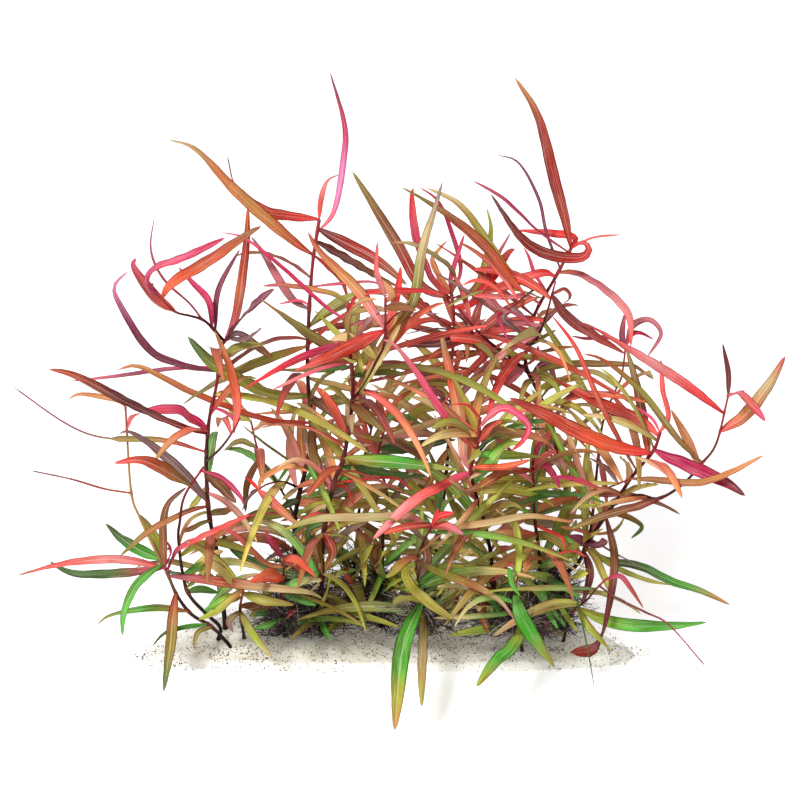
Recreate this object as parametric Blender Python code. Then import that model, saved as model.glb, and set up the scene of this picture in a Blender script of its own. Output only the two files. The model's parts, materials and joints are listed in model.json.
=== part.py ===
"""A clump of persicaria standing in its patch of sand: shoots with narrow leaves, at real size."""
import math
from collections import namedtuple

import bmesh
import bpy
from mathutils import Vector
from mathutils.bvhtree import BVHTree

# The clump is laid out as it is seen from the front, in millimetres across and up on an upright view.
MM = 0.001
VIEW_FALL = math.radians(25)
VIEW_DISTANCE = 1.3
VIEW_AXIS_UP = 0.1298
RIGHT = Vector((1, 0, 0))
UP_ON_VIEW = Vector((0, math.sin(VIEW_FALL), math.cos(VIEW_FALL)))
FORWARD = Vector((0, math.cos(VIEW_FALL), -math.sin(VIEW_FALL)))

# The patch of sand that the shoots stand in: a long front edge, round ends, a bowed back
SAND_HALF_LENGTH = 0.133
SAND_ACROSS = -0.006
SAND_FRONT = -0.037
SAND_ENDS = -0.021
SAND_BACK = 0.046
SAND_TOP = 0.004
SAND_RIM = 0.0012
SAND_BANK = 0.009
SAND_CORNERS = 36
SAND_FRONT_POWERS = (0.62, 0.8)
SAND_BACK_POWERS = (0.95, 1.5)
SAND_MARGIN = 0.004

# Stems: a point every STEM_SPACING along them, thinner to the top, spread at the foot
GAP = 0.0003
STEM_SPACING = 0.028
LEAST_STEM_POINTS = 3
STEM_TAPER = 0.45
FOOT_SPREAD = 0.0024
FOOT_REACH = 1.3

# Leaves: blades with the midrib raised underneath, broadest a little below the middle
SHORT_LEAF = 0.022
SHORT_LEAF_RINGS = 2
LEAST_RINGS = 3
MOST_JOINED_RINGS = 4
MOST_OWN_RINGS = 5
SECTION_CORNERS = 3
PETIOLE_WIDTH = 0.0011
BLADE_SKEW = 0.75
BLADE_FULLNESS = 0.7
THREAD_FROM = 0.45
THREAD_WIDTH = 0.0009
KEEL = 0.0004
KEEL_SHARE = 0.13
BLADE_LIFT = 0.45
LEAST_SEEN_SHARE = 0.5
LEAF_BOW = 0.12
BASE_SINK = 0.35
SLIM_SHARE = 0.55
LEAST_SORT_WIDTH = 2
FLOOR_CLEARANCE = 0.0006

# The largest leaves are pieces of their own; a leaf's tip gives way by steps where it would cut another
OWN_LEAVES = 38
WAY_STEP = 0.005
WAY_STEPS = 9

# Joining small leaves and branches to their shoots, and taking away the spare corners that this leaves
MERGE_DISTANCE = 0.000001
THIN_RATIOS = (0.62, 0.66, 0.7, 0.74, 0.78, 0.82, 0.86, 0.9, 0.94)
FUSE_TRIES = 16
FUSE_TURN = math.radians(0.004)
FUSE_TURN_KINDS = 5

# How finely a smooth curve is drawn through its points, and how finely a line is searched
CURVE_PIECES = 6
SEARCH_STEPS = 8

COLOURS = {
    "scarlet": (0.75, 0.05, 0.04),
    "coral": (0.87, 0.16, 0.13),
    "pink": (0.90, 0.15, 0.30),
    "magenta": (0.52, 0.02, 0.09),
    "brick": (0.38, 0.04, 0.02),
    "maroon": (0.13, 0.015, 0.01),
    "tan": (0.60, 0.27, 0.09),
    "rust": (0.48, 0.12, 0.03),
    "peach": (0.84, 0.17, 0.08),
    "brown": (0.26, 0.14, 0.03),
    "olive": (0.26, 0.26, 0.045),
    "lime": (0.38, 0.42, 0.06),
    "green": (0.07, 0.42, 0.03),
    "fern": (0.03, 0.16, 0.03),
    "mauve": (0.26, 0.17, 0.17),
    "rose": (0.60, 0.15, 0.20),
    "plum": (0.22, 0.03, 0.08),
}
STEM_COLOUR = (0.05, 0.01, 0.012)
SAND_COLOUR = (0.75, 0.72, 0.62)
LEAF_ROUGHNESS = 0.5
STEM_ROUGHNESS = 0.45
SAND_ROUGHNESS = 0.95

# A stem or branch: where it starts (across and depth on the sand, or none on a branch), the route
# seen from the front, the depth of its top, how far it bows back on the way, and its thickness.
Stem = namedtuple("Stem", "foot depth bow thick route")

# A leaf: its width, how far back its tip reaches from its base, its colours from base to tip, and
# its route seen from the front. A minus reach comes towards the viewer.
Leaf = namedtuple("Leaf", "width reach colours route thread", defaults=(False,))

SHOOTS = {
    "a": (
        [
            Stem(
                (-56, 4), 41, 0, 3.2,
                [(-58, 40), (-57, 70), (-49, 107), (-51, 150), (-48.5, 200), (-44.5, 229)],
            ),
            Stem(None, -7, 0, 1.8, [(-54.5, 80), (-60, 83.5), (-66, 85), (-73, 83.5), (-78, 80.5)]),
        ],
        [
            Leaf(
                3.5, -18, "coral magenta plum",
                [(-45, 222), (-36, 234), (-31, 262), (-30.5, 281), (-38.7, 310.7)],
            ),
            Leaf(3, 23, "pink pink", [(-44.5, 228), (-43.5, 240), (-40, 250), (-33.5, 254)]),
            Leaf(6, 26, "scarlet brick", [(-45, 228), (-60, 230.5), (-76, 234), (-90, 246), (-95, 264.5)]),
            Leaf(5.5, -29, "tan tan", [(-48, 209.5), (-60, 218), (-90, 244), (-112, 267), (-128, 273)]),
            Leaf(6, -39, "maroon brown", [(-45.5, 224), (-30, 216), (-12, 206), (4, 193)]),
            Leaf(6, 34, "maroon brown", [(-46.5, 217), (-28, 206), (-8, 195), (0, 192)]),
            Leaf(2.5, 18, "scarlet scarlet", [(-48, 208.5), (-40, 203), (-32, 195), (-28, 183)]),
            Leaf(5, -44, "brown lime", [(-51, 160.5), (-68, 154), (-88, 146), (-108, 135), (-120, 127)]),
            Leaf(1.5, -21, "magenta magenta", [(-49, 191.5), (-36, 193.5), (-14, 194.5), (-7.5, 186)]),
            Leaf(4.5, 39, "rose rose", [(-51, 179), (-60, 186), (-74, 208), (-82, 220)]),
            Leaf(1.5, 10, "pink pink", [(-51.5, 181), (-56, 184.5), (-67, 182.5)]),
            Leaf(5, -34, "brown brown", [(-50, 132), (-42, 126), (-30, 117)]),
            Leaf(7, -52, "brown fern plum", [(-51, 131), (-70, 132), (-90, 141), (-105, 151), (-117, 165)]),
            Leaf(4.5, -26, "coral tan", [(-50, 116), (-75, 119), (-113, 133), (-143, 148), (-156, 146)]),
            Leaf(2.2, 26, "tan tan", [(-50, 124), (-60, 123.5), (-81, 122)]),
            Leaf(5, -39, "brown olive", [(-50, 118), (-47, 98), (-41, 79)]),
            Leaf(1.8, 18, "olive olive", [(-51, 93), (-60, 96), (-72, 104), (-87, 116)]),
            Leaf(3.5, -13, "tan tan", [(-78, 80.5), (-75, 87), (-62, 93.5), (-50, 90.5)]),
            Leaf(5, -31, "coral tan", [(-78, 80.5), (-72, 75), (-60, 64), (-55, 62)]),
            Leaf(2, 13, "scarlet scarlet", [(-78, 80.5), (-81, 84), (-85.5, 88)]),
            Leaf(3, 29, "maroon maroon", [(-78, 80.5), (-83, 76), (-87, 69)]),
            Leaf(4, -18, "fern fern", [(-56.5, 76), (-60, 73), (-66, 70)]),
        ],
    ),
    "b": (
        [
            Stem(
                (-43, -4), -24, 0, 3.2,
                [(-43, 38), (-41.5, 60), (-36, 85), (-30.5, 100), (-26, 133), (-28, 163), (-28.5, 183)],
            ),
            Stem(None, -58, 0, 2, [(-26, 130), (-20, 137), (-13, 151), (-8.5, 162), (-8, 186)]),
            Stem(None, -44, 0, 1.2, [(-8.5, 170), (-2, 177), (3, 179)]),
        ],
        [
            Leaf(2.5, 29, "magenta pink", [(-28.5, 173), (-42, 182), (-64, 202), (-85, 218.5), (-99, 222)]),
            Leaf(
                4, -34, "scarlet scarlet",
                [(-28.5, 178), (-22, 187.5), (-5, 189.5), (14, 189.5), (26, 187.5)],
            ),
            Leaf(3, 16, "lime lime", [(-28, 161), (-36, 168), (-47, 179)]),
            Leaf(4.5, -31, "olive tan", [(-27.5, 157), (-40, 160), (-55, 169), (-77, 185.5)]),
            Leaf(4, 34, "olive rose", [(-28.5, 183), (-38, 188), (-62, 192.5), (-76, 192.5)]),
            Leaf(2.8, -10, "coral coral", [(-8, 185), (-12, 197), (-13, 203), (-12.3, 217)]),
            Leaf(4, 10, "tan tan", [(-8, 183), (-4, 188), (-12, 197)]),
            Leaf(6.5, -44, "coral brick", [(-8.5, 169.5), (-25, 160), (-45, 150.5), (-58, 145.5)]),
            Leaf(2.5, -21, "pink pink", [(-27, 150), (-45, 146.5), (-71, 135)]),
            Leaf(3.5, -52, "magenta scarlet", [(-27.5, 161), (-40, 158.5), (-60, 150.5), (-87, 135)]),
            Leaf(4, 31, "fern olive", [(-26.5, 147), (-46, 146.5), (-68, 146)]),
            Leaf(4, -23, "fern olive", [(-26.5, 144), (-10, 145), (3, 144)]),
            Leaf(4, -16, "brown brown", [(-8, 182), (0, 181), (9, 179)]),
            Leaf(6, 26, "tan rust", [(-8.5, 169), (-20, 186), (-28, 195), (-44, 211), (-51, 222.5)]),
            Leaf(
                5.5, 44, "rust tan mauve",
                [(-8.5, 163), (0, 172), (8, 186), (12.5, 213), (19, 234), (23.5, 250)],
            ),
            Leaf(6, -39, "brown olive", [(-27, 127), (-20, 122), (-14, 117), (-8, 112)]),
            Leaf(3.5, 23, "tan olive", [(-28.5, 113), (-22, 110), (-9, 107.5)]),
            Leaf(6, -57, "lime fern", [(-31, 98), (-18, 96.5), (0, 95), (20, 92.5), (33, 91)]),
            Leaf(4, 18, "fern fern", [(-32.5, 93), (-15, 91), (-5, 89), (15, 88)]),
            Leaf(4, -21, "rust rust", [(-33, 93.5), (-40, 90), (-46, 83), (-52, 76.5)]),
            Leaf(1.8, -39, "brick brick", [(-33, 92), (-22, 89.5), (-5, 82), (9, 75.5)]),
            Leaf(2, -10, "scarlet scarlet", [(-36, 84), (-20, 86), (-2, 86.5), (7, 79)]),
            Leaf(1.5, 4, "scarlet scarlet", [(-37, 82), (-30, 82), (-25, 71)]),
            Leaf(2, -26, "scarlet coral", [(-41.5, 66), (-47, 67), (-54, 64)]),
            Leaf(
                6, 13, "fern fern",
                [(-43, 32), (-50, 32.5), (-66, 34.5), (-80, 40), (-91, 47), (-99, 58)],
            ),
            Leaf(4.5, -39, "olive lime", [(-43, 24), (-34, 19), (-22, 11.5), (-10, 8), (0, 4.5)]),
            Leaf(3, -29, "lime lime", [(-43, 14), (-41, 22), (-37.5, 33.5)]),
            Leaf(4, -39, "olive olive", [(-43, 7), (-50, 6.5), (-60, -2)]),
            Leaf(3.5, -34, "green green", [(-43, 8), (-41.5, 3.5), (-38, -2)]),
            Leaf(6, -31, "olive brown", [(-42, 58), (-46, 50), (-43, 34)]),
            Leaf(5, -39, "brick brown", [(-41.5, 56), (-37, 46), (-41, 36)]),
            Leaf(4.5, 18, "fern fern", [(-41.5, 62), (-50, 57), (-46, 40)]),
        ],
    ),
    "c": (
        [
            Stem(
                (-96, 2), -10, 0, 3,
                [
                    (-98, 24), (-100, 43), (-105, 67), (-106.5, 96), (-105, 119), (-101, 138), (-99, 157),
                    (-95, 164),
                ],
            ),
            Stem(None, -41, 0, 1.8, [(-106.5, 95), (-98, 104), (-91, 114), (-88, 120)]),
            Stem(None, -41, 0, 1.8, [(-97, 161), (-107, 173), (-115, 176), (-124, 178.5), (-133, 187)]),
        ],
        [
            Leaf(
                5, -13, "magenta peach scarlet",
                [(-95, 162), (-91.5, 172), (-88.5, 185), (-84.5, 215), (-83.5, 237)],
            ),
            Leaf(4.5, -39, "plum plum", [(-95, 164), (-87, 175), (-75, 186.5), (-69, 191)]),
            Leaf(6.5, 21, "brown rust", [(-131, 185), (-125, 194), (-105, 206), (-85, 220), (-76, 225.5)]),
            Leaf(
                4.5, -34, "magenta pink",
                [(-133, 187), (-138.5, 193), (-135, 201.5), (-118, 208), (-96, 219)],
            ),
            Leaf(3.5, 23, "magenta magenta", [(-104, 170), (-105, 184), (-114, 194), (-122, 203)]),
            Leaf(
                5.5, 31, "brick rust",
                [(-124, 178.5), (-132, 184), (-139, 192), (-146.5, 203), (-145.3, 208)],
            ),
            Leaf(
                4, -26, "plum rose",
                [(-100.5, 146), (-120, 148.8), (-138, 157), (-153, 180), (-157, 192), (-149, 201)],
            ),
            Leaf(
                1.4, -16, "magenta plum",
                [(-108.5, 174), (-116, 183), (-130, 196), (-137, 212), (-135, 231)],
            ),
            Leaf(3, 34, "plum plum", [(-101, 167), (-100, 190), (-88, 213)]),
            Leaf(5, -31, "tan peach", [(-91.5, 113), (-89.5, 127), (-93.5, 147), (-102, 168)]),
            Leaf(5, 26, "mauve brown", [(-97, 161), (-90, 166), (-80, 160), (-70, 153)]),
            Leaf(2.5, -49, "mauve mauve", [(-95, 164), (-85, 163), (-76, 169.5)]),
            Leaf(
                5, -44, "olive brown",
                [(-107, 112), (-125, 116.5), (-148, 127), (-178, 143), (-194, 147)],
            ),
            Leaf(7, -18, "magenta magenta", [(-106, 114), (-115, 119), (-124, 124), (-141, 124)]),
            Leaf(2.2, 31, "plum plum", [(-100.5, 148), (-125, 147), (-155, 143), (-182, 140)]),
            Leaf(
                3.2, 16, "coral olive mauve",
                [(-106.5, 100), (-130, 107.5), (-163, 109), (-184, 117), (-213, 137.3)], True,
            ),
            Leaf(
                5, -21, "mauve mauve",
                [(-105.5, 74), (-120, 90), (-138, 105.5), (-150, 112.3), (-155, 110.3)],
            ),
            Leaf(6, -34, "brown brown", [(-106.5, 89), (-99, 82), (-90, 73)]),
            Leaf(4.5, 18, "lime lime", [(-106, 80), (-108, 77.5), (-116, 70)]),
            Leaf(4, -21, "olive brown", [(-104.5, 64), (-110, 61), (-119, 57)]),
            Leaf(4, 26, "olive tan", [(-105, 67), (-98, 68), (-90, 71)]),
            Leaf(
                4, -47, "rust tan olive",
                [(-105.5, 71), (-113.4, 69.5), (-129, 62.5), (-141, 55.4), (-154, 44)],
            ),
            Leaf(2, -16, "magenta magenta", [(-103.5, 125.5), (-96, 123), (-91, 118), (-91, 111)]),
            Leaf(1, -10, "maroon maroon", [(-99, 40), (-95, 42), (-86, 41)]),
        ],
    ),
    "d": (
        [
            Stem(
                (-99, -10), -31, 0, 2.4,
                [(-99, 5), (-107.8, 13.4), (-117.6, 26), (-121.8, 52), (-121, 63), (-118.5, 77), (-108, 93)],
            ),
        ],
        [
            Leaf(4.5, -39, "olive coral", [(-116.5, 83), (-127, 89.5), (-142, 96.5), (-157.5, 95)]),
            Leaf(3.5, -36, "magenta magenta", [(-109, 92), (-98, 86.5), (-88, 77), (-86, 72)]),
            Leaf(2.5, -21, "lime lime", [(-117.5, 25), (-112, 31), (-104, 40)]),
            Leaf(4, 16, "green green", [(-117, 25), (-110, 25.5), (-100, 24)]),
        ],
    ),
    "e": (
        [
            Stem(
                (-92, -18), 10, -8, 2.2,
                [
                    (-103.5, 5), (-114.8, 12), (-123, 23), (-129, 37), (-136, 50), (-143, 65), (-148, 80),
                    (-151, 126),
                ],
            ),
        ],
        [
            Leaf(4, -31, "coral coral rust", [(-130, 38), (-153, 42), (-175, 41), (-192, 38), (-211, 33)]),
            Leaf(
                5, 21, "magenta green olive",
                [(-130, 37), (-142, 35.5), (-160, 34), (-180, 34.5), (-193, 41)],
            ),
            Leaf(
                4.5, -18, "tan brown maroon",
                [(-129, 39), (-130, 50), (-130, 62), (-127, 73), (-117, 82)],
            ),
            Leaf(
                4.5, -47, "magenta coral scarlet",
                [(-128.5, 36), (-122, 47), (-113, 52), (-100, 58.5), (-82, 67)],
            ),
            Leaf(
                5, -26, "rose tan lime",
                [(-127, 32), (-113, 31.5), (-94, 29), (-72, 26.5), (-50, 24), (-42, 20)],
            ),
            Leaf(
                6, -57, "rust olive fern",
                [(-123.5, 23), (-125, 10), (-126, -4), (-128, -18), (-130, -31)],
            ),
            Leaf(
                3, -36, "tan green olive",
                [(-117, 14), (-133, 15.5), (-150, 13.5), (-161, 10.5), (-167, 5.6)],
            ),
            Leaf(4.5, -60, "green green", [(-130, 39), (-140, 33), (-147, 25), (-152, 12), (-152.7, 0)]),
            Leaf(6, 31, "green fern", [(-131, 41), (-143, 47), (-154, 54), (-162, 62)]),
            Leaf(2.5, -31, "green fern", [(-106, 6), (-121.8, 4), (-130, 1), (-136.5, -6)]),
            Leaf(3, -23, "olive olive", [(-105, 5.5), (-111, 2), (-113.5, -6)]),
            Leaf(6, 16, "olive lime brown", [(-131, 41), (-134, 51), (-139, 60), (-144, 67)]),
            Leaf(2.5, 23, "tan tan", [(-151, 126), (-157, 130), (-175, 133), (-183, 130)]),
            Leaf(2.5, -13, "coral coral", [(-150.5, 114), (-147, 120), (-143, 122.5)]),
            Leaf(1, -18, "tan mauve", [(-148, 79), (-163, 81), (-180, 86), (-203, 91)], True),
            Leaf(4, 34, "fern fern", [(-128, 36), (-122, 33), (-116, 29)]),
            Leaf(3, -21, "magenta magenta", [(-129.5, 38), (-126.5, 46), (-128, 52)]),
        ],
    ),
    "t": (
        [Stem((-60, 15), 61, 0, 2, [(-59, 30), (-58, 55), (-60, 70), (-67, 83), (-77, 99), (-82, 118)])],
        [
            Leaf(4, -36, "brown brown", [(-76.5, 98), (-84, 84), (-85, 68)]),
            Leaf(6, -34, "lime olive", [(-60, 69), (-72, 67), (-84, 64), (-96, 57)]),
            Leaf(4, 29, "lime lime", [(-82, 117), (-90, 122), (-98, 132)]),
            Leaf(3.5, -31, "tan tan", [(-81, 114), (-72, 118), (-60, 114)]),
            Leaf(3, 34, "olive olive", [(-79, 104), (-88, 107), (-97, 102)]),
            Leaf(3, -13, "mauve mauve", [(-58, 48), (-66, 46), (-74, 42)]),
            Leaf(3.5, 16, "mauve mauve", [(-58, 46), (-52, 52), (-46, 57)]),
        ],
    ),
    "f": (
        [Stem((-63, -7), -37, 0, 2, [(-64, 20), (-64, 43)])],
        [
            Leaf(3.5, -18, "magenta magenta", [(-64, 42), (-68.5, 48), (-72, 53), (-74, 58.5)]),
            Leaf(5, -29, "peach peach", [(-64, 32), (-72, 33), (-83, 29.5)]),
            Leaf(4, -13, "tan coral", [(-64, 38), (-72, 39), (-79, 44), (-88, 53.5), (-97, 59.5)]),
            Leaf(3.5, -34, "peach peach", [(-64, 42), (-57, 42), (-51, 37), (-46, 32)]),
            Leaf(2.5, 16, "coral coral", [(-64, 40), (-58, 38), (-53, 34)]),
            Leaf(4, -13, "fern green", [(-64, 22), (-56, 20), (-46, 17)]),
            Leaf(4.5, -23, "green green", [(-63.5, 10), (-72, 6), (-80, 4)]),
            Leaf(3.5, 18, "green green", [(-63.5, 14), (-74, 13), (-83, 11)]),
            Leaf(2, -16, "scarlet scarlet", [(-63.5, 9), (-60, 12.5), (-57, 14)]),
        ],
    ),
    "h": (
        [Stem((-85, -9), -41, 0, 2, [(-88, 14), (-86, 26)])],
        [
            Leaf(5, -21, "lime green", [(-87, 20), (-95, 20), (-101, 17), (-108, 14)]),
            Leaf(4.5, 13, "tan olive", [(-86, 25), (-94, 19), (-102, 13), (-111, 9)]),
            Leaf(4, -44, "rust lime", [(-87.5, 13), (-84, 6), (-78, -3), (-70, -12)]),
            Leaf(4, -26, "mauve mauve", [(-88, 13), (-94, 8), (-92, 2)]),
            Leaf(5, -16, "lime olive", [(-86.5, 23), (-76, 20), (-66, 18), (-58, 17)]),
            Leaf(4, 18, "brown brown", [(-87, 17), (-76, 16), (-67, 15)]),
            Leaf(3, 23, "fern fern", [(-87, 9), (-84, 6), (-80, 4)]),
        ],
    ),
    "u": (
        [Stem((-11, 4), 27, 0, 2.4, [(-10, 31), (-9.5, 54), (-7, 72), (-8, 83), (-12, 97), (-9, 113)])],
        [
            Leaf(4, -18, "coral brown", [(-9, 111), (-10, 120), (-13, 135)]),
            Leaf(5, -39, "brown brown", [(-9, 110), (0, 105), (16, 96)]),
            Leaf(3.5, 18, "tan tan", [(-9, 112), (2, 115), (15, 126)]),
            Leaf(3, -26, "green green", [(-9, 113), (-5, 120), (3, 120.5), (13, 116)]),
            Leaf(6, 26, "fern fern", [(-10, 104), (0, 103), (10, 104.5), (31, 108)]),
            Leaf(3.8, -29, "olive olive", [(-7.5, 80), (-13.5, 77), (-13.5, 66)]),
            Leaf(4, -26, "brown brown", [(-9.5, 50), (-14, 46), (-12, 34)]),
            Leaf(4, 18, "fern fern", [(-10, 38), (-5, 41), (1, 46)]),
            Leaf(3.5, -34, "green lime", [(-10, 24), (-5, 28), (1, 31)]),
            Leaf(3.5, -26, "olive olive", [(-10.5, 22), (-14, 16), (-19, 10)]),
        ],
    ),
    "n": (
        [Stem((-28, 12), 61, 0, 2.4, [(-25, 40), (-22.5, 68), (-21.5, 90), (-17, 108), (-12.5, 130)])],
        [
            Leaf(4, 26, "olive olive", [(-12.5, 130), (-6, 138), (-2, 150)]),
            Leaf(3.5, -23, "olive olive", [(-20, 99), (-14, 103), (-8, 101)]),
            Leaf(5, -44, "lime lime", [(-26.5, 26), (-24, 33), (-20, 42), (-15, 50)]),
            Leaf(4.5, -34, "olive lime", [(-27.5, 12), (-34, 8), (-41, 1)]),
            Leaf(4, -39, "tan olive", [(-27.5, 14), (-33, 18), (-38, 24)]),
            Leaf(4.5, -29, "brick brick", [(-26.5, 27), (-23, 24), (-21, 14)]),
            Leaf(5, 16, "green green", [(-27, 22), (-18, 26), (-12, 24)]),
            Leaf(4, -44, "peach brick", [(-26.5, 28), (-30, 34), (-29, 38)]),
            Leaf(5, -31, "brown olive", [(-23, 64), (-14, 57), (-4, 54), (6, 53)]),
        ],
    ),
    "m": (
        [Stem((14, -18), -61, 0, 2, [(13, 10), (12, 19), (9, 38), (12, 50), (18, 61)])],
        [
            Leaf(9, -92, "green green tan", [(12, 19), (4.4, 3.3), (0.5, -13), (-1.6, -35), (-3, -52)]),
            Leaf(5.5, -72, "olive rust olive", [(12.6, 15), (12.6, -0.7), (12, -17.6), (12, -39)]),
            Leaf(6, -44, "lime olive", [(9.2, 37), (3, 35), (6, 27), (16, 18), (30, 9)]),
            Leaf(4.5, -23, "olive rust tan", [(9.5, 40), (22, 35), (40, 28), (54, 20), (64, 8)]),
            Leaf(6, -39, "brown brown", [(10.5, 46), (17, 51), (24, 57)]),
            Leaf(4.5, -34, "rust lime", [(10, 44), (3, 41), (-3, 36), (-8, 32)]),
            Leaf(7, -18, "brown mauve", [(12, 49), (14, 42), (10, 31)]),
            Leaf(5, -16, "brick peach", [(18, 61), (6, 60), (-4, 58), (-9, 56)]),
            Leaf(3.5, -10, "scarlet scarlet", [(18, 61), (22, 65.5), (30, 68)]),
            Leaf(4.5, -18, "coral rose", [(18, 60), (26, 60), (35, 56)]),
            Leaf(3, 6, "scarlet scarlet", [(18, 61), (20, 66), (21, 70)]),
            Leaf(3, 16, "green green", [(17, 59), (14, 62), (11, 59)]),
            Leaf(5, 6, "peach tan lime", [(17, 59.5), (5, 65.5), (-20, 65), (-45, 64.5), (-65, 58)]),
            Leaf(3.5, 18, "olive olive", [(12, 50), (21, 51), (30, 55)]),
            Leaf(3.5, 21, "tan tan", [(17, 59), (30, 60), (50, 62.5), (72, 66), (98, 62)]),
        ],
    ),
    "s": (
        [
            Stem(
                (18, 10), 51, 0, 3,
                [(18, 30), (22, 60), (26, 95), (28, 125), (28.5, 152), (30, 168), (28.5, 188)],
            ),
        ],
        [
            Leaf(
                6, -21, "coral pink",
                [(28.5, 187), (20, 192.5), (13, 205), (8, 222), (6.5, 241), (7.5, 247)],
            ),
            Leaf(2.5, 13, "magenta magenta", [(29, 187), (33.5, 202), (28, 223), (21, 239), (10.5, 247)]),
            Leaf(4, 26, "rust fern", [(29.5, 184), (42, 192), (47.5, 208), (50, 224), (47.5, 236)]),
            Leaf(3.5, -31, "brown tan", [(28.5, 188), (30, 198), (23, 206), (8, 215), (-4.5, 216.5)]),
            Leaf(3, 10, "tan tan", [(28.5, 188), (18, 205), (22, 213), (26, 217.5)]),
            Leaf(3, -34, "pink pink", [(28.5, 188), (28, 196), (31, 207), (35.5, 221)]),
            Leaf(6, 34, "brick brick", [(28.5, 186), (12, 192), (0, 213), (-16, 239), (-26.5, 255.8)]),
            Leaf(7, -36, "brick rust", [(30, 167), (22, 172), (15, 179), (8, 184), (-1, 191)]),
            Leaf(4.5, -47, "maroon maroon", [(29.5, 177), (37, 173), (37, 166), (20, 160.5), (-2, 160.5)]),
            Leaf(6.5, -31, "scarlet peach", [(29.5, 181), (40, 183), (49, 195), (59, 210), (63.5, 213)]),
            Leaf(5, 18, "tan rose", [(30, 170), (40, 172), (43, 180), (46, 187)]),
            Leaf(3, 23, "rose rose", [(29, 185), (40, 190), (50, 203), (61, 222)]),
            Leaf(1, -10, "mauve mauve", [(30, 168), (18, 169), (2, 166)]),
            Leaf(5, -23, "brick rose", [(28, 129), (22, 133), (12, 137)]),
            Leaf(4.5, -26, "tan tan", [(26.5, 102), (20, 91), (12, 77)]),
            Leaf(4, 23, "fern fern", [(27.5, 112), (38, 118), (47, 127)]),
            Leaf(4, 31, "olive olive", [(23.5, 72), (13, 82), (3, 97)]),
            Leaf(4, -21, "olive tan", [(18.5, 38), (27, 38), (38, 36)]),
            Leaf(3.5, -34, "brick brick", [(18, 27), (24, 29), (30, 22), (34, 10)]),
            Leaf(4, 21, "green green", [(18, 20), (27, 16), (40, 11)]),
        ],
    ),
    "v": (
        [
            Stem(
                (51, -6), -44, 0, 2.8,
                [(51.2, 26), (49.8, 45.6), (46.3, 62.5), (42, 78), (39, 91), (42.5, 104), (44, 120)],
            ),
            Stem(None, -20, 0, 1.6, [(41.5, 100), (46, 104), (52, 113), (57, 121)]),
        ],
        [
            Leaf(
                6.5, -39, "pink rose",
                [(39.5, 90), (30, 86), (20, 80.5), (10, 75.5), (-3, 65), (-15, 53)],
            ),
            Leaf(
                6.5, 16, "coral rust tan",
                [(39, 90), (35, 99), (34.5, 110), (31, 130), (25, 155), (22.5, 168)],
            ),
            Leaf(
                4, -23, "coral pink",
                [(42, 103), (31, 112.5), (20, 128), (9, 145), (-3, 160), (-10, 163)],
            ),
            Leaf(1.6, -18, "scarlet scarlet", [(44, 119), (40, 124), (36, 127), (28, 127.5)]),
            Leaf(
                4, -39, "pink scarlet",
                [(43.5, 114), (52, 123), (60, 124.7), (70.5, 116), (68, 108), (61, 101.5)],
            ),
            Leaf(1.8, 13, "magenta magenta", [(43.3, 110), (50, 110.5), (56, 106), (68, 96)]),
            Leaf(3.5, -21, "peach peach", [(39, 92), (55, 92.5), (64, 94.5), (72, 97)]),
            Leaf(2, 23, "olive fern", [(43.5, 112), (52, 113), (66, 113.5), (80, 114)]),
            Leaf(4, -29, "rust coral", [(50.5, 36), (56, 38), (62, 39)]),
            Leaf(4, -21, "coral rose", [(50.7, 32), (57, 35), (63, 34)]),
            Leaf(3.5, -13, "rose rose", [(50, 43), (55, 47), (61, 49)]),
            Leaf(6, -26, "brick mauve", [(51, 27), (45, 23), (45, 12), (49, 1)]),
            Leaf(5, -23, "lime lime", [(50.5, 35), (46, 37), (38, 31)]),
            Leaf(5, -34, "green green", [(51, 26), (51.5, 20), (54, 13)]),
            Leaf(4, 23, "olive olive", [(47.5, 58), (38, 64), (30, 74)]),
        ],
    ),
    "w": (
        [Stem((77, -10), -14, 0, 2.6, [(77, 31.6), (76.5, 45.6), (74, 66), (73.5, 80), (73, 96)])],
        [
            Leaf(5.5, -36, "rust brown", [(73.5, 91), (58, 90), (50, 86), (44, 82), (34, 79)]),
            Leaf(2.5, 18, "magenta magenta", [(73, 96), (76, 104), (83, 114)]),
            Leaf(4, -16, "coral coral", [(73.5, 93), (80, 98), (86, 102)]),
            Leaf(4, -29, "green fern", [(73.5, 82), (80, 78.5), (88, 77)]),
            Leaf(4, 13, "green green", [(73.5, 80), (68, 85), (62, 90)]),
            Leaf(4.5, -34, "magenta magenta", [(73.3, 90), (80, 93), (85, 87), (88, 81)]),
            Leaf(4, -23, "fern lime", [(74, 66), (90, 70), (109, 72)]),
            Leaf(3.5, -18, "lime green", [(75.3, 57), (70, 52), (63, 46)]),
            Leaf(4.5, -39, "tan lime", [(76.3, 50), (71, 48), (67, 41)]),
            Leaf(6, -44, "tan tan", [(76.5, 44), (71.5, 42), (69, 35)]),
            Leaf(3, -16, "brown olive", [(77, 39), (70, 38), (60, 39), (51, 43)]),
            Leaf(2, -13, "coral coral", [(77, 41), (88, 45), (95, 46.5), (103, 43.5)]),
            Leaf(2.5, -31, "scarlet scarlet", [(74.7, 60), (83, 57), (89, 54), (91, 47)]),
            Leaf(4, -18, "fern green", [(77, 34), (86, 29), (93, 25), (99, 21)]),
            Leaf(4.5, -36, "green green", [(77, 30), (79, 20), (82, 12), (87, 4)]),
            Leaf(4, -29, "green lime", [(77, 26), (85, 20), (92, 10), (98, 2)]),
            Leaf(5, -21, "brick maroon", [(77, 14), (80.5, 9), (78, -1)]),
        ],
    ),
    "g": (
        [Stem((66, -22), -58, 0, 1.8, [(65, 12), (63, 24), (65, 33)])],
        [
            Leaf(8, -58, "fern green olive", [(63, 24), (67, 10), (76, -5), (85, -17.5)]),
            Leaf(7, -66, "green lime", [(65.5, 8), (66, 1), (61, -7), (52, -15), (42, -28)]),
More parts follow.
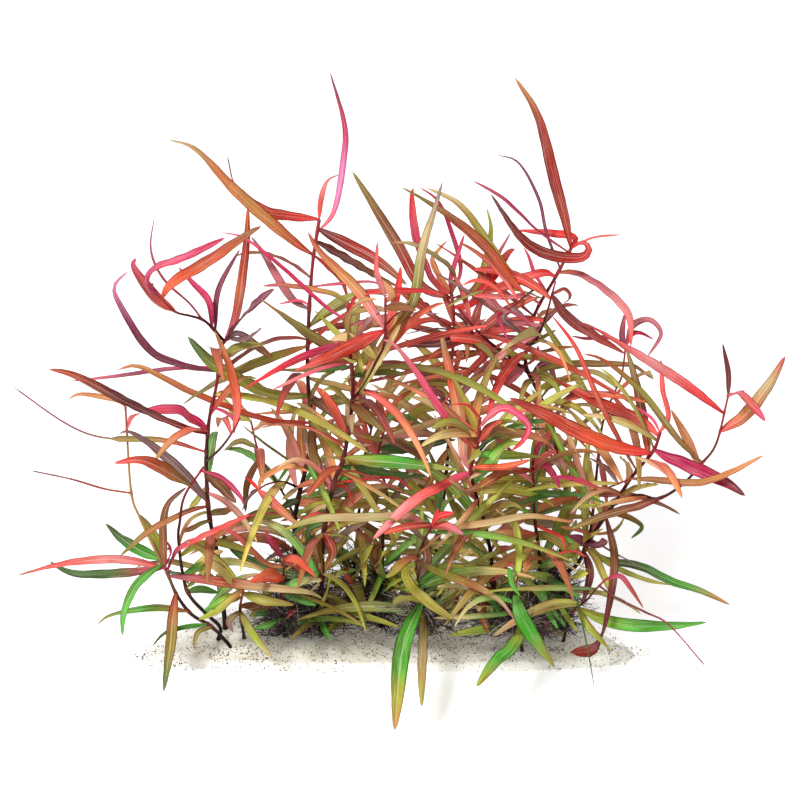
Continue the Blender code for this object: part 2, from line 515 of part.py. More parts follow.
            Leaf(3, -26, "green green", [(65, 33), (61, 36), (61.5, 29), (66, 22)]),
            Leaf(5, 18, "fern fern", [(64, 28), (58, 24), (54, 16)]),
            Leaf(4, 23, "fern green", [(65, 14), (74, 16), (80, 17)]),
        ],
    ),
    "r": (
        [
            Stem(
                (79, 18), 41, 0, 3,
                [
                    (83, 34), (91, 54), (92, 66), (91, 81), (86, 104), (82, 121), (71, 144),
                    (69, 152), (71.5, 169), (76, 181), (84.5, 195.5), (94, 213),
                ],
            ),
            Stem(None, 7, 0, 2.2, [(71, 144), (62, 152), (50, 161), (40, 170.5), (32.5, 180)]),
            Stem(None, -10, 0, 1.8, [(70.3, 160), (75, 163), (79, 172), (81.5, 180), (85.5, 195)]),
            Stem(None, 0, 0, 1.4, [(80, 188), (75, 191), (69, 187), (59, 179)]),
            Stem(None, -44, 0, 1.6, [(91.7, 72), (100, 75.5), (108, 79), (127, 86.5)]),
        ],
        [
            Leaf(6, -13, "brick brick", [(93.5, 212), (91, 228), (85, 250), (76, 285), (63, 307.5)]),
            Leaf(1.8, 18, "plum plum", [(88, 201), (80.5, 222), (76.5, 240), (65.5, 260), (53, 264.7)]),
            Leaf(2.5, -21, "magenta magenta", [(93, 211), (75, 223.5), (57, 240.5), (40, 250.5)]),
            Leaf(
                5, -44, "scarlet brick maroon",
                [(94, 212), (100, 216.5), (104, 213), (99, 208), (81, 210), (66, 219.5), (49.5, 243.5)],
            ),
            Leaf(4.2, 23, "scarlet scarlet", [(94, 213), (96, 219), (82, 221.5), (64, 223)]),
            Leaf(1.5, 10, "coral coral", [(94, 213), (106, 219), (121.7, 220.8)]),
            Leaf(2.5, 13, "pink pink", [(80, 189), (74, 199), (71, 208), (68, 214)]),
            Leaf(6.5, -29, "coral coral", [(86, 197), (77, 199), (60, 193), (45, 189)]),
            Leaf(5, -44, "peach peach", [(76, 182), (70, 186.5), (60, 186), (40, 187)]),
            Leaf(5.5, -34, "rose coral", [(88, 200), (98, 198.8), (115, 188), (126, 175.5), (127, 159)]),
            Leaf(6, -39, "maroon brick", [(83.5, 187), (92, 175), (108, 164), (124, 155)]),
            Leaf(2.5, 18, "brick brick", [(84, 188), (90, 190.5), (93.5, 186.5), (90, 183)]),
            Leaf(4, 31, "olive brown", [(71, 145), (90, 149), (110, 149.5), (128, 148.5), (139, 141)]),
            Leaf(2.5, -23, "brown brown", [(69.5, 155), (88, 158.3), (96, 159)]),
            Leaf(2.5, 21, "olive olive", [(70, 158), (75, 162), (86, 168.5)]),
            Leaf(4, -23, "tan tan", [(73, 173), (79, 177), (84.5, 179.5)]),
            Leaf(2, -18, "magenta magenta", [(59, 179), (54, 176), (57, 168), (60, 162)]),
            Leaf(2.5, 21, "mauve mauve", [(59.5, 179), (57, 174), (63, 169), (70, 163)]),
            Leaf(2, -26, "magenta magenta", [(60, 179.5), (65, 176), (72, 172.5)]),
            Leaf(5, -31, "rose rose", [(59, 179), (52, 181), (46, 186)]),
            Leaf(5, -13, "peach rust olive", [(69, 187), (60, 197), (47, 214), (25, 232), (0.5, 247)]),
            Leaf(4.5, 29, "peach olive", [(74, 190.5), (60, 200), (48, 217), (33, 237), (14.5, 246.7)]),
            Leaf(3, -18, "scarlet scarlet", [(54, 158), (58, 162), (63, 160)]),
            Leaf(6, -29, "rose rose", [(68, 147), (64, 145), (59, 138)]),
            Leaf(3, -13, "coral coral", [(70, 150), (75, 153), (76, 160)]),
            Leaf(4, 18, "plum plum", [(72, 142), (80, 150), (86, 141)]),
            Leaf(3, -18, "brick brick", [(83, 117), (90, 127), (98.5, 139.5)]),
            Leaf(3.5, 21, "tan tan", [(84.5, 111), (90, 106), (100, 98)]),
            Leaf(3, -26, "peach tan", [(86.5, 102), (90, 98), (98, 91)]),
            Leaf(3.5, -31, "olive olive", [(91.8, 70), (78, 71), (60, 76), (50, 77.5)]),
            Leaf(2.5, 16, "mauve brown", [(120, 84.5), (114, 92), (104, 98)]),
            Leaf(4, -26, "brown tan", [(127, 86.5), (140, 85.8), (163, 84), (180, 89), (200.5, 99.6)]),
            Leaf(4, 23, "fern fern", [(83, 35), (88, 27), (95, 23)]),
            Leaf(3, 18, "green green", [(91.3, 56), (95, 59), (97, 64)]),
        ],
    ),
    "p": (
        [
            Stem(
                (84, 0), -27, 0, 3,
                [
                    (90, 31.6), (98, 40), (104, 53), (109, 60), (119, 74.5), (128, 88), (139.5, 102),
                    (143, 112),
                ],
            ),
            Stem(
                None, 44, 10, 2,
                [(104, 53), (106.5, 72), (109, 98), (112, 119), (119, 136), (122, 143), (124, 158)],
            ),
            Stem(
                None, -58, 0, 2,
                [(117.5, 72), (131, 77.5), (142, 75.5), (155, 83), (165.5, 94.5), (174, 106), (180.5, 132)],
            ),
        ],
        [
            Leaf(3.5, 16, "plum rose", [(124, 157), (122, 165), (123.5, 177.5)]),
            Leaf(2.5, -18, "magenta magenta", [(124, 158), (127, 165), (132, 166.5), (139.5, 163)]),
            Leaf(2.5, 23, "magenta magenta", [(124, 158), (115, 164), (103, 163.5), (94, 165)]),
            Leaf(3, -29, "rose rose", [(124, 158), (128, 170), (137, 173.8), (143.5, 166), (136, 153.5)]),
            Leaf(3, -36, "rust scarlet", [(130, 90.5), (123, 103), (109, 130), (97, 158), (83, 177)]),
            Leaf(
                3.5, 26, "brown olive rust",
                [(166.5, 96), (153, 108), (133, 134), (113, 151), (100, 155.5)],
            ),
            Leaf(5, -13, "brick peach", [(179, 122), (155, 139.5), (125, 158), (105, 170), (95, 173)]),
            Leaf(2.8, 10, "maroon maroon", [(180.5, 132), (180.5, 145), (177.5, 161)]),
            Leaf(6, -31, "tan pink", [(176.5, 112), (190, 121.5), (203, 138), (212, 154)]),
            Leaf(5, -44, "magenta pink", [(180.3, 131), (187, 133), (197, 123), (201, 118)]),
            Leaf(4.5, 21, "tan tan", [(164, 93), (158, 108), (149, 124.5)]),
            Leaf(3.5, -13, "coral coral", [(143, 111), (147.5, 121), (144.5, 135), (143.5, 152.5)]),
            Leaf(1.8, 18, "pink pink", [(142.5, 111), (138, 120), (128, 127)]),
            Leaf(7, -47, "magenta maroon", [(139.5, 102), (148, 98), (163, 91.5), (180, 84), (190, 77)]),
            Leaf(8, -26, "scarlet peach", [(138.5, 101), (120, 103.5), (100, 111), (80, 121.5), (60, 131)]),
            Leaf(5.5, 26, "rust olive", [(137, 99.5), (133.5, 120), (129.5, 140), (124.5, 158)]),
            Leaf(6, 36, "brick brown", [(142, 110), (133, 118), (112, 127), (83, 142)]),
            Leaf(5.5, -21, "brick olive", [(143, 76), (130, 71), (112, 66), (94, 59)]),
            Leaf(3, -16, "brown fern", [(114, 68), (125, 65.5), (133, 60), (127, 53.5)]),
            Leaf(2, 13, "tan olive", [(106, 56.5), (116, 57), (121, 61), (123.5, 66)]),
            Leaf(3, -18, "rust tan", [(106, 56.5), (98, 58), (88, 60)]),
            Leaf(3, -26, "coral magenta", [(121, 77.5), (112, 80), (97, 86), (82, 88)]),
            Leaf(3.5, 16, "brick brick", [(109, 99), (112, 86), (114, 70)]),
            Leaf(
                4.5, -34, "maroon brown brick",
                [(112.5, 65), (117.8, 45.6), (117, 28.8), (114, 12), (110.8, 0), (105, -8), (93.3, -9)],
            ),
            Leaf(4.5, -18, "maroon maroon", [(101, 46), (104.5, 34), (100.3, 17.6)]),
            Leaf(4, -26, "olive lime", [(103, 50), (108, 42), (112, 33), (118, 20)]),
            Leaf(
                4.5, 13, "olive fern tan",
                [(103.5, 51), (112, 42), (132, 38), (149, 30), (165, 25), (182, 17)],
            ),
            Leaf(3.5, 26, "lime lime", [(103, 49), (118, 38), (135, 31), (149, 28)]),
            Leaf(1, -18, "mauve mauve", [(104, 53), (119, 45), (132, 38.5)]),
            Leaf(4, -23, "plum plum", [(103.5, 52), (108, 50), (114.5, 52)]),
            Leaf(4, -10, "plum plum", [(103.5, 52), (98, 53), (92, 55)]),
            Leaf(1, -80, "fern fern", [(91, 33), (96.8, 20), (101, 3), (104, -12), (107, -28.7)]),
        ],
    ),
    "k": (
        [Stem((89, -12), -51, 0, 1.8, [(93, 9), (97, 15), (103, 20), (108, 26), (113, 31)])],
        [
            Leaf(6, -13, "lime green", [(98, 16), (115, 8), (133, 5.5), (152, 5.5), (169, 7.5)]),
            Leaf(
                1.2, -21, "maroon magenta",
                [(109, 27), (119, 21), (135, 13), (148, 6), (168.4, -17)], True,
            ),
            Leaf(4, -39, "lime lime", [(98, 15), (103, 6), (109, -1), (115.7, -8)]),
            Leaf(2.5, -13, "magenta rust", [(113, 31), (121, 33), (127, 26), (134, 15)]),
            Leaf(4.5, 18, "fern fern", [(96, 14), (90, 18), (85, 24)]),
        ],
    ),
}

# Leaves that the front hides: they stand round each stem by turns, as on the living shoot
ROUND_LEAVES = {"a": 7, "b": 6, "c": 5, "t": 4, "n": 5, "s": 6, "u": 4, "v": 3, "w": 3, "r": 6, "p": 4}
ROUND_TURN = math.radians(137.5)
ROUND_LOWEST = 0.16
ROUND_HIGHEST = 0.86
ROUND_LENGTHS = (0.058, 0.074, 0.066)
ROUND_RISE = math.radians(32)
ROUND_DROOP = 0.48
ROUND_WIDTH = 0.0058
ROUND_SIDE_SHARE = 0.55
ROUND_SWING = math.radians(12)
ROUND_SWINGS = 7


def seen(across, up, depth):
    """The point at (across, up) on the front view that lies depth metres behind the middle."""
    eye = UP_ON_VIEW * VIEW_AXIS_UP - FORWARD * VIEW_DISTANCE
    sight = RIGHT * across + UP_ON_VIEW * up - eye
    return eye + sight * ((depth - eye.y) / sight.y)


def on_view(point):
    """Where a point shows on the front view."""
    eye = UP_ON_VIEW * VIEW_AXIS_UP - FORWARD * VIEW_DISTANCE
    sight = point - eye
    return (eye + sight * (VIEW_DISTANCE / sight.dot(FORWARD)))


def smooth_line(points, shares):
    """Points at the given shares of the length of a smooth curve through the points."""
    line = []
    ends = [points[0] * 2 - points[1], *points, points[-1] * 2 - points[-2]]
    for before, start, end, after in zip(ends, ends[1:], ends[2:], ends[3:]):
        for piece in range(CURVE_PIECES):
            t = piece / CURVE_PIECES
            pull_start = (end - before) / 2
            pull_end = (after - start) / 2
            line.append(
                start * (2 * t ** 3 - 3 * t ** 2 + 1) + pull_start * (t ** 3 - 2 * t ** 2 + t)
                + end * (3 * t ** 2 - 2 * t ** 3) + pull_end * (t ** 3 - t ** 2)
            )
    line.append(points[-1])
    lengths = [0.0]
    for start, end in zip(line, line[1:]):
        lengths.append(lengths[-1] + (end - start).length)
    found = []
    at = 0
    for share in shares:
        want = share * lengths[-1]
        while at < len(line) - 2 and lengths[at + 1] < want:
            at += 1
        part = (want - lengths[at]) / max(lengths[at + 1] - lengths[at], 1e-9)
        found.append(line[at].lerp(line[at + 1], part))
    return found


def loft(rings, tip=None):
    """The corners and faces of a closed skin over rings of corners, with a point or a flat end."""
    sides = len(rings[0])
    corners = [corner for ring in rings for corner in ring]
    faces = [tuple(reversed(range(sides)))]
    for ring in range(len(rings) - 1):
        for side in range(sides):
            a = ring * sides + side
            b = ring * sides + (side + 1) % sides
            faces.append((a, b, b + sides))
            faces.append((a, b + sides, a + sides))
    last = (len(rings) - 1) * sides
    if tip is None:
        faces.append(tuple(range(last, last + sides)))
    else:
        corners.append(tip)
        for side in range(sides):
            faces.append((last + side, last + (side + 1) % sides, len(corners) - 1))
    return corners, faces


def place_on_view(point):
    """Where a point shows on the front view, as across and up."""
    shown = on_view(point)
    return Vector((shown.x, shown.dot(UP_ON_VIEW)))


def length_of(points):
    return sum((end - start).length for start, end in zip(points, points[1:]))


def tube(line, radii, stands):
    """The corners and faces of a stem along a line, with its foot cut level just over the sand."""
    curve = bpy.data.curves.new("stem", "CURVE")
    curve.dimensions = "3D"
    curve.bevel_depth = 1
    curve.bevel_resolution = 0
    curve.use_fill_caps = True
    spline = curve.splines.new("POLY")
    spline.points.add(len(line) - 1)
    for spot, point, radius in zip(spline.points, line, radii):
        spot.co = (*point, 1)
        spot.radius = radius
    guide = bpy.data.objects.new("stem_guide", curve)
    bpy.context.scene.collection.objects.link(guide)
    graph = bpy.context.evaluated_depsgraph_get()
    graph.update()
    mesh = bpy.data.meshes.new_from_object(guide.evaluated_get(graph))
    bpy.data.objects.remove(guide)
    work = bmesh.new()
    work.from_mesh(mesh)
    bmesh.ops.remove_doubles(work, verts=work.verts, dist=MERGE_DISTANCE)
    bmesh.ops.recalc_face_normals(work, faces=work.faces)
    if stands:
        for corner in work.verts:
            if (corner.co - line[0]).length < radii[0] * FOOT_REACH:
                corner.co.z = SAND_TOP + GAP
    corners = [corner.co.copy() for corner in work.verts]
    faces = [tuple(corner.index for corner in face.verts) for face in work.faces]
    work.free()
    return corners, faces


def stem_line(stem, parent):
    """The middle line of a stem, or of a branch that starts on its parent's line."""
    if stem.foot:
        across, depth = stem.foot
        start = Vector((across * MM, depth * MM, SAND_TOP + GAP))
        shown = stem.route
    else:
        start = nearest(parent, stem.route[0])
        shown = stem.route[1:]
    route = [place_on_view(start)] + [Vector(point) * MM for point in shown]
    count = max(LEAST_STEM_POINTS, round(length_of(route) / STEM_SPACING) + 1)
    shares = [at / (count - 1) for at in range(count)]
    line = []
    for share, point in zip(shares, smooth_line(route, shares)):
        depth = start.y + (stem.depth * MM - start.y) * share
        depth += stem.bow * MM * math.sin(share * math.pi)
        line.append(seen(point.x, point.y, depth))
    line[0] = start
    return line


def nearest(line, shown):
    """The point of a line that shows nearest to a place on the front view."""
    target = Vector(shown) * MM
    points = []
    for start, end in zip(line, line[1:]):
        points += [start.lerp(end, step / SEARCH_STEPS) for step in range(SEARCH_STEPS + 1)]
    return min(points, key=lambda point: (place_on_view(point) - target).length)


def distance_on_view(line, shown):
    """How far a line shows from a place on the front view."""
    return (place_on_view(nearest(line, shown)) - Vector(shown) * MM).length


def blade_share(share):
    """How much of its full width a blade has at a share of its length."""
    return math.sin(math.pi * share ** BLADE_SKEW) ** BLADE_FULLNESS


def blade_section(point, side, face, width, fat):
    """Three corners of a blade: its two edges, and the midrib under them."""
    half = side * (width / 2 + fat)
    keel = KEEL + KEEL_SHARE * width + fat
    return [point + half + face * fat, point - face * keel, point - half + face * fat]


def leaf_width(leaf, share):
    full = leaf.width * MM * blade_share(share)
    if leaf.thread and share > THREAD_FROM:
        full = THREAD_WIDTH
    return max(min(PETIOLE_WIDTH, leaf.width * MM), full)


def leaf_solid(leaf, line, shares, fat):
    """A leaf as a thin closed blade, turned to show its width on the front view."""
    rings = []
    for at, share in enumerate(shares[:-1]):
        along = (line[at + 1] - line[max(at - 1, 0)]).normalized()
        face = Vector((0, 0, BLADE_LIFT)) - FORWARD * (1 - BLADE_LIFT)
        face = (face - along * face.dot(along)).normalized()
        side = along.cross(face)
        seen_side = side - FORWARD * side.dot(FORWARD)
        seen_along = (along - FORWARD * along.dot(FORWARD)).normalized()
        shown = max(LEAST_SEEN_SHARE, seen_side.cross(seen_along).length)
        rings.append(blade_section(line[at], side, face, leaf_width(leaf, share) / shown, fat))
    return loft(rings, line[-1])


def leaf_line(leaf, base, way, own, radius):
    """The middle line of a leaf whose reach gives way by a few millimetres, and its shares."""
    route = [place_on_view(base)] + [Vector(point) * MM for point in leaf.route[1:]]
    rings = min(MOST_OWN_RINGS if own else MOST_JOINED_RINGS, max(LEAST_RINGS, len(route) - 1))
    if length_of(route) < SHORT_LEAF:
        rings = SHORT_LEAF_RINGS
    shares = [at / rings for at in range(rings + 1)]
    reach = leaf.reach * MM + way
    line = []
    for share, point in zip(shares, smooth_line(route, shares)):
        depth = base.y + reach * (share + LEAF_BOW * math.sin(math.pi * share))
        line.append(seen(point.x, point.y, depth))
    out = (line[1] - line[0]).normalized()
    if own:
        line[0] = line[0] + out * (radius + 2 * GAP)
    else:
        line[0] = line[0] - out * radius * BASE_SINK
    return line, shares


def box_of(corners):
    low = [min(corner[axis] for corner in corners) for axis in range(3)]
    high = [max(corner[axis] for corner in corners) for axis in range(3)]
    return low, high


class Placed:
    """Every solid that already has its place, so that the next one can give way to it."""

    def __init__(self):
        self.items = []

    def add(self, node, corners, faces):
        low, high = box_of(corners)
        self.items.append((node, low, high, BVHTree.FromPolygons(corners, faces)))

    def met(self, corners, faces):
        """The nodes that a solid would cut into."""
        low, high = box_of(corners)
        tree = BVHTree.FromPolygons(corners, faces)
        nodes = set()
        for other, other_low, other_high, other_tree in self.items:
            if any(low[a] > other_high[a] or high[a] < other_low[a] for a in range(3)):
                continue
            if other not in nodes and tree.overlap(other_tree):
                nodes.add(other)
        return nodes

    def room(self, node, corners, faces):
        """How a leaf fits: 0 where it cuts another node, 1 where its outer part cuts its own, else 2."""
        met = self.met(corners, faces)
        if met - {node}:
            return 0
        outer = [face for face in faces if min(face) >= SECTION_CORNERS]
        return 1 if self.met(corners, outer) else 2


def first_with_room(placed, node, tries):
    """The first of the tries that fits best, or None."""
    good = None
    for fat, thin in tries:
        if not over_ground(fat[0]) or skin_crosses(*thin):
            continue
        room = placed.room(node, *fat)
        if room == 2:
            return thin
        if room == 1 and good is None:
            good = thin
    return good


def over_ground(corners):
    """Whether a leaf stays above the floor, and above the sand where it crosses the patch."""
    for corner in corners:
        least = FLOOR_CLEARANCE
        if inside_patch(corner.x, corner.y):
            least = SAND_TOP + GAP
        if corner.z < least:
            return False
    return True


def patch_edge(angle):
    """The outline of the patch of sand at an angle round its middle."""
    across = math.cos(angle)
    deep = math.sin(angle)
    far, (length_power, depth_power) = SAND_BACK, SAND_BACK_POWERS
    if deep < 0:
        far, (length_power, depth_power) = SAND_FRONT, SAND_FRONT_POWERS
    x = math.copysign(abs(across) ** length_power, across) * SAND_HALF_LENGTH
    return Vector((SAND_ACROSS + x, SAND_ENDS + (far - SAND_ENDS) * abs(deep) ** depth_power, 0))


def inside_patch(x, y):
    """Whether a place lies over the patch of sand, with a margin to spare."""
    if not SAND_FRONT - SAND_MARGIN < y < SAND_BACK + SAND_MARGIN:
        return False
    return abs(x - SAND_ACROSS) < SAND_HALF_LENGTH + SAND_MARGIN


def make_material(name, colour, roughness):
    """A plain material with one colour."""
    material = bpy.data.materials.new(name)
    material.use_nodes = True
    shader = material.node_tree.nodes["Principled BSDF"]
    shader.inputs["Base Color"].default_value = (*colour, 1)
    shader.inputs["Roughness"].default_value = roughness
    shader.inputs["Metallic"].default_value = 0
    return material


def make_object(name, corners, faces, collection, material):
    """An object with a mesh of these corners and faces, in a collection."""
    mesh = bpy.data.meshes.new(name)
    mesh.from_pydata([tuple(corner) for corner in corners], [], faces)
    mesh.materials.append(material)
    made = bpy.data.objects.new(name, mesh)
    collection.objects.link(made)
    return made


def make_sand(collection):
    """The thin patch of sand: a flat underside, a low bank all round and a level top."""
    middle = Vector((SAND_ACROSS, (SAND_FRONT + SAND_BACK) / 2, 0))
    edge = [patch_edge(corner * math.tau / SAND_CORNERS) for corner in range(SAND_CORNERS)]
    rings = []
    for inset, height in ((0, 0), (0, SAND_RIM), (SAND_BANK, SAND_TOP)):
        up = Vector((0, 0, height))
        rings.append([corner + (middle - corner).normalized() * inset + up for corner in edge])
    corners, faces = loft(rings)
    make_object("sand_bed", corners, faces, collection, make_material("sand", SAND_COLOUR, SAND_ROUGHNESS))


def round_leaf(line, number, count, turn):
    """The line of one leaf of the hidden side: out from the stem, up a little, and over."""
    share = ROUND_LOWEST + (ROUND_HIGHEST - ROUND_LOWEST) * number / (count - 1)
    base = smooth_line(line, [share])[0]
    out = Vector((math.cos(turn) * ROUND_SIDE_SHARE, math.sin(turn), 0)).normalized()
    length = ROUND_LENGTHS[number % len(ROUND_LENGTHS)]
    shares = [at / LEAST_RINGS for at in range(LEAST_RINGS + 1)]
    points = []
    for at in shares:
        rise = at * math.sin(ROUND_RISE) - at * at * ROUND_DROOP
        points.append(base + (out * (at * math.cos(ROUND_RISE)) + Vector((0, 0, rise))) * length)
    return points, shares


def round_solid(line, shares, fat):
    """A leaf of the hidden side, with its broad face up."""
    rings = []
    for at, share in enumerate(shares[:-1]):
        along = (line[at + 1] - line[max(at - 1, 0)]).normalized()
        side = along.cross(Vector((0, 0, 1))).normalized()
        width = max(PETIOLE_WIDTH, ROUND_WIDTH * blade_share(share))
        rings.append(blade_section(line[at], side, side.cross(along), width, fat))
    return loft(rings, line[-1])


def one_closed_body(mesh):
    """Whether a mesh is one closed body once it is all triangles."""
    work = bmesh.new()
    work.from_mesh(mesh)
    bmesh.ops.triangulate(work, faces=work.faces)
    closed = all(len(edge.link_faces) == 2 for edge in work.edges)
    work.verts.ensure_lookup_table()
    reached = set()
    waiting = work.verts[:1]
    while waiting:
        corner = waiting.pop()
        reached.add(corner.index)
        around = [edge.other_vert(corner) for edge in corner.link_edges]
        waiting += [other for other in around if other.index not in reached]
    whole = len(reached) == len(work.verts) > 0
    work.free()
    return closed and whole


def fuse(shoot, pieces):
    """Joins branches and small leaves to their shoot, turned by a hair where faces would meet badly."""
    join = shoot.modifiers.new("join", "BOOLEAN")
    join.operation = "UNION"
    join.solver = "EXACT"
    join.operand_type = "COLLECTION"
    join.collection = pieces
    for attempt in range(FUSE_TRIES):
        for number, piece in enumerate(pieces.objects):
            angle = attempt * FUSE_TURN * (1 + number % FUSE_TURN_KINDS)
            piece.rotation_euler = (angle, -angle, angle)
        graph = bpy.context.evaluated_depsgraph_get()
        graph.update()
        joined = bpy.data.meshes.new_from_object(shoot.evaluated_get(graph))
        if one_closed_body(joined):
            break
    shoot.modifiers.remove(join)
    shoot.data = joined


def thin_out(made):
    """Takes away the spare corners that the joins left, as far as the body stays whole."""
    for ratio in THIN_RATIOS:
        thin = made.modifiers.new("thin", "DECIMATE")
        thin.ratio = ratio
        graph = bpy.context.evaluated_depsgraph_get()
        graph.update()
        trial = bpy.data.meshes.new_from_object(made.evaluated_get(graph))
        made.modifiers.remove(thin)
        if one_closed_body(trial) and not crosses_itself(trial):
            made.data = trial
            return


def crosses_itself(mesh):
    """Whether faces of a mesh that share no corner cut through each other."""
    corners = [corner.co for corner in mesh.vertices]
    return skin_crosses(corners, [tuple(face.vertices) for face in mesh.polygons])


def skin_crosses(corners, faces):
    tree = BVHTree.FromPolygons(corners, faces)
    return any(a < b and not set(faces[a]) & set(faces[b]) for a, b in tree.overlap(tree))


def steps_aside(step_size, steps):
    """Nothing, and then a growing number of steps to the one side and the other."""
    yield 0
    for step in range(1, steps + 1):
        yield step * step_size
        yield -step * step_size


def leaf_tries(leaf, base, own, radius):
    """The leaf as drawn and then with its tip ever further back or forward: fattened, and as it is."""
    for width in (leaf.width, leaf.width * SLIM_SHARE):
        sized = leaf._replace(width=width)
        for way in steps_aside(WAY_STEP, WAY_STEPS):
            line, shares = leaf_line(sized, base, way, own, radius)
            yield leaf_solid(sized, line, shares, GAP), leaf_solid(sized, line, shares, 0)


def round_tries(stem, number, count, turn):
    """A leaf of the hidden side at its turn round the stem, and then ever further to either side."""
    for swing in steps_aside(ROUND_SWING, ROUND_SWINGS):
        line, shares = round_leaf(stem, number, count, turn + swing)
        yield round_solid(line, shares, GAP), round_solid(line, shares, 0)


def place_stems(name, placed):
    """The middle lines of a shoot's stem and branches with their radii, and their solids."""
    lines = []
    skins = []
    for stem in SHOOTS[name][0]:
        parent = None
        if not stem.foot:
            parent = min((line for line, _ in lines), key=lambda line: distance_on_view(line, stem.route[0]))
        line = stem_line(stem, parent)
        radii = [stem.thick * MM / 2 * (1 - STEM_TAPER * at / (len(line) - 1)) for at in range(len(line))]
        lines.append((line, radii[0]))
        if stem.foot:
            radii[0] += FOOT_SPREAD
        skins.append(tube(line, radii, bool(stem.foot)))
        placed.add("shoot_" + name, *skins[-1])
    return lines, skins


def sorting_size(leaf):
    """Roughly the area of a leaf as it shows on the front view."""
    return length_of([Vector(point) for point in leaf.route]) * max(leaf.width, LEAST_SORT_WIDTH)


def place_leaves(lines, skins, placed):
    """Finds room for every leaf, largest first, and gives back the ones that are pieces of their own."""
    leaves = [(name, number, leaf) for name in SHOOTS for number, leaf in enumerate(SHOOTS[name][1], 1)]
    leaves.sort(key=lambda entry: -sorting_size(entry[2]))
    own_leaves = []
    for rank, (name, number, leaf) in enumerate(leaves):
        line, radius = min(lines[name], key=lambda entry: distance_on_view(entry[0], leaf.route[0]))
        own = rank < OWN_LEAVES
        node = f"leaf_{name}_{number}" if own else "shoot_" + name
        tries = leaf_tries(leaf, nearest(line, leaf.route[0]), own, radius)
        skin = first_with_room(placed, node, tries)
        if not skin:
            continue
        placed.add(node, *skin)
        if own:
            own_leaves.append((node, skin, leaf))
        else:
            skins[name].append(skin)
    return own_leaves


def place_round_leaves(lines, skins, placed):
    """Finds room for the leaves of the hidden side."""
    for turn, (name, count) in enumerate(ROUND_LEAVES.items(), 1):
        stem = lines[name][0][0]
        for number in range(count):
            tries = round_tries(stem, number, count, number * ROUND_TURN + turn)
            skin = first_with_room(placed, "shoot_" + name, tries)
            if skin:
                placed.add("shoot_" + name, *skin)
                skins[name].append(skin)


def join_shoot(name, skins, parts, pieces, material):
    """A shoot: its stem with the branches and small leaves that grow from it, as one body."""
    shoot = make_object("shoot_" + name, *skins[0], parts, material)
    for skin in skins[1:]:
        make_object("piece", *skin, pieces, material)
    fuse(shoot, pieces)
    for piece in list(pieces.objects):
        bpy.data.objects.remove(piece)
    thin_out(shoot)


def main():
    for old in list(bpy.data.objects):
        bpy.data.objects.remove(old, do_unlink=True)
    parts = bpy.data.collections.new("persicaria")
    pieces = bpy.data.collections.new("joined_pieces")
    for collection in (parts, pieces):
        bpy.context.scene.collection.children.link(collection)
    make_sand(parts)

    placed = Placed()
    lines = {}
    skins = {}
    for name in SHOOTS:
        lines[name], skins[name] = place_stems(name, placed)
    own_leaves = place_leaves(lines, skins, placed)
    place_round_leaves(lines, skins, placed)

    stem_material = make_material("stem", STEM_COLOUR, STEM_ROUGHNESS)
    for name in SHOOTS:
        join_shoot(name, skins[name], parts, pieces, stem_material)
    colours = {name: make_material(name, colour, LEAF_ROUGHNESS) for name, colour in COLOURS.items()}
    for node, skin, leaf in own_leaves:
        make_object(node, *skin, parts, colours[leaf.colours.split()[0]])


main()
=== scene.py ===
import json
import math
from collections import namedtuple

import bpy
import numpy as np
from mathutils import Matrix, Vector, noise
from mathutils.bvhtree import BVHTree


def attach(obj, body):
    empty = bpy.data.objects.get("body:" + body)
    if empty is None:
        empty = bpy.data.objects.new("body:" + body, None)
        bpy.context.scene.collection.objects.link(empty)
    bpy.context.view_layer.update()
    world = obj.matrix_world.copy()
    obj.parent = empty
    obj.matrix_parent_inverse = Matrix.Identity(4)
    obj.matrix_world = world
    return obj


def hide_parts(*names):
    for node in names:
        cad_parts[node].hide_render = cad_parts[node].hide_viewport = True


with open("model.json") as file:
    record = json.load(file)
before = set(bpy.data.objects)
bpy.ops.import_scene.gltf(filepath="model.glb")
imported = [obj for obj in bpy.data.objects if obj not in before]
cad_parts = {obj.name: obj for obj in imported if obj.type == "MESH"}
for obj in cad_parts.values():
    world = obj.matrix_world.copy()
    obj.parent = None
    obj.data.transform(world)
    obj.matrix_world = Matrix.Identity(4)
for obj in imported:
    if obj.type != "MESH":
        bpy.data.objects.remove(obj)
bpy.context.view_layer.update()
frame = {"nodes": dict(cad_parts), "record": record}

# The view
# The clump is seen from the front and a little above. The places of all stems and leaves are given in
# millimetres across and up on this view.
MM = 0.001
VIEW_FALL = math.radians(25)
VIEW_DISTANCE = 1.3
VIEW_AXIS_UP = 0.1298
VIEW_WIDTH = 0.44
SENSOR_WIDTH = 36
RIGHT = Vector((1, 0, 0))
UP_ON_VIEW = Vector((0, math.sin(VIEW_FALL), math.cos(VIEW_FALL)))
FORWARD = Vector((0, math.cos(VIEW_FALL), -math.sin(VIEW_FALL)))
EYE = UP_ON_VIEW * VIEW_AXIS_UP - FORWARD * VIEW_DISTANCE

scene = bpy.context.scene
camera = bpy.data.objects.new("camera", bpy.data.cameras.new("camera"))
camera.location = EYE
camera.rotation_euler = (math.pi / 2 - VIEW_FALL, 0, 0)
camera.data.sensor_width = SENSOR_WIDTH
camera.data.lens = SENSOR_WIDTH * VIEW_DISTANCE / VIEW_WIDTH
scene.collection.objects.link(camera)
scene.camera = camera


def seen(across, up, depth):
    """The point at (across, up) on the view that lies depth metres behind the middle."""
    sight = RIGHT * across + UP_ON_VIEW * up - EYE
    return EYE + sight * ((depth - EYE.y) / sight.y)


def place_on_view(point):
    """Where a point shows on the view, as across and up."""
    sight = point - EYE
    shown = EYE + sight * (VIEW_DISTANCE / sight.dot(FORWARD))
    return Vector((shown.x, shown.dot(UP_ON_VIEW)))


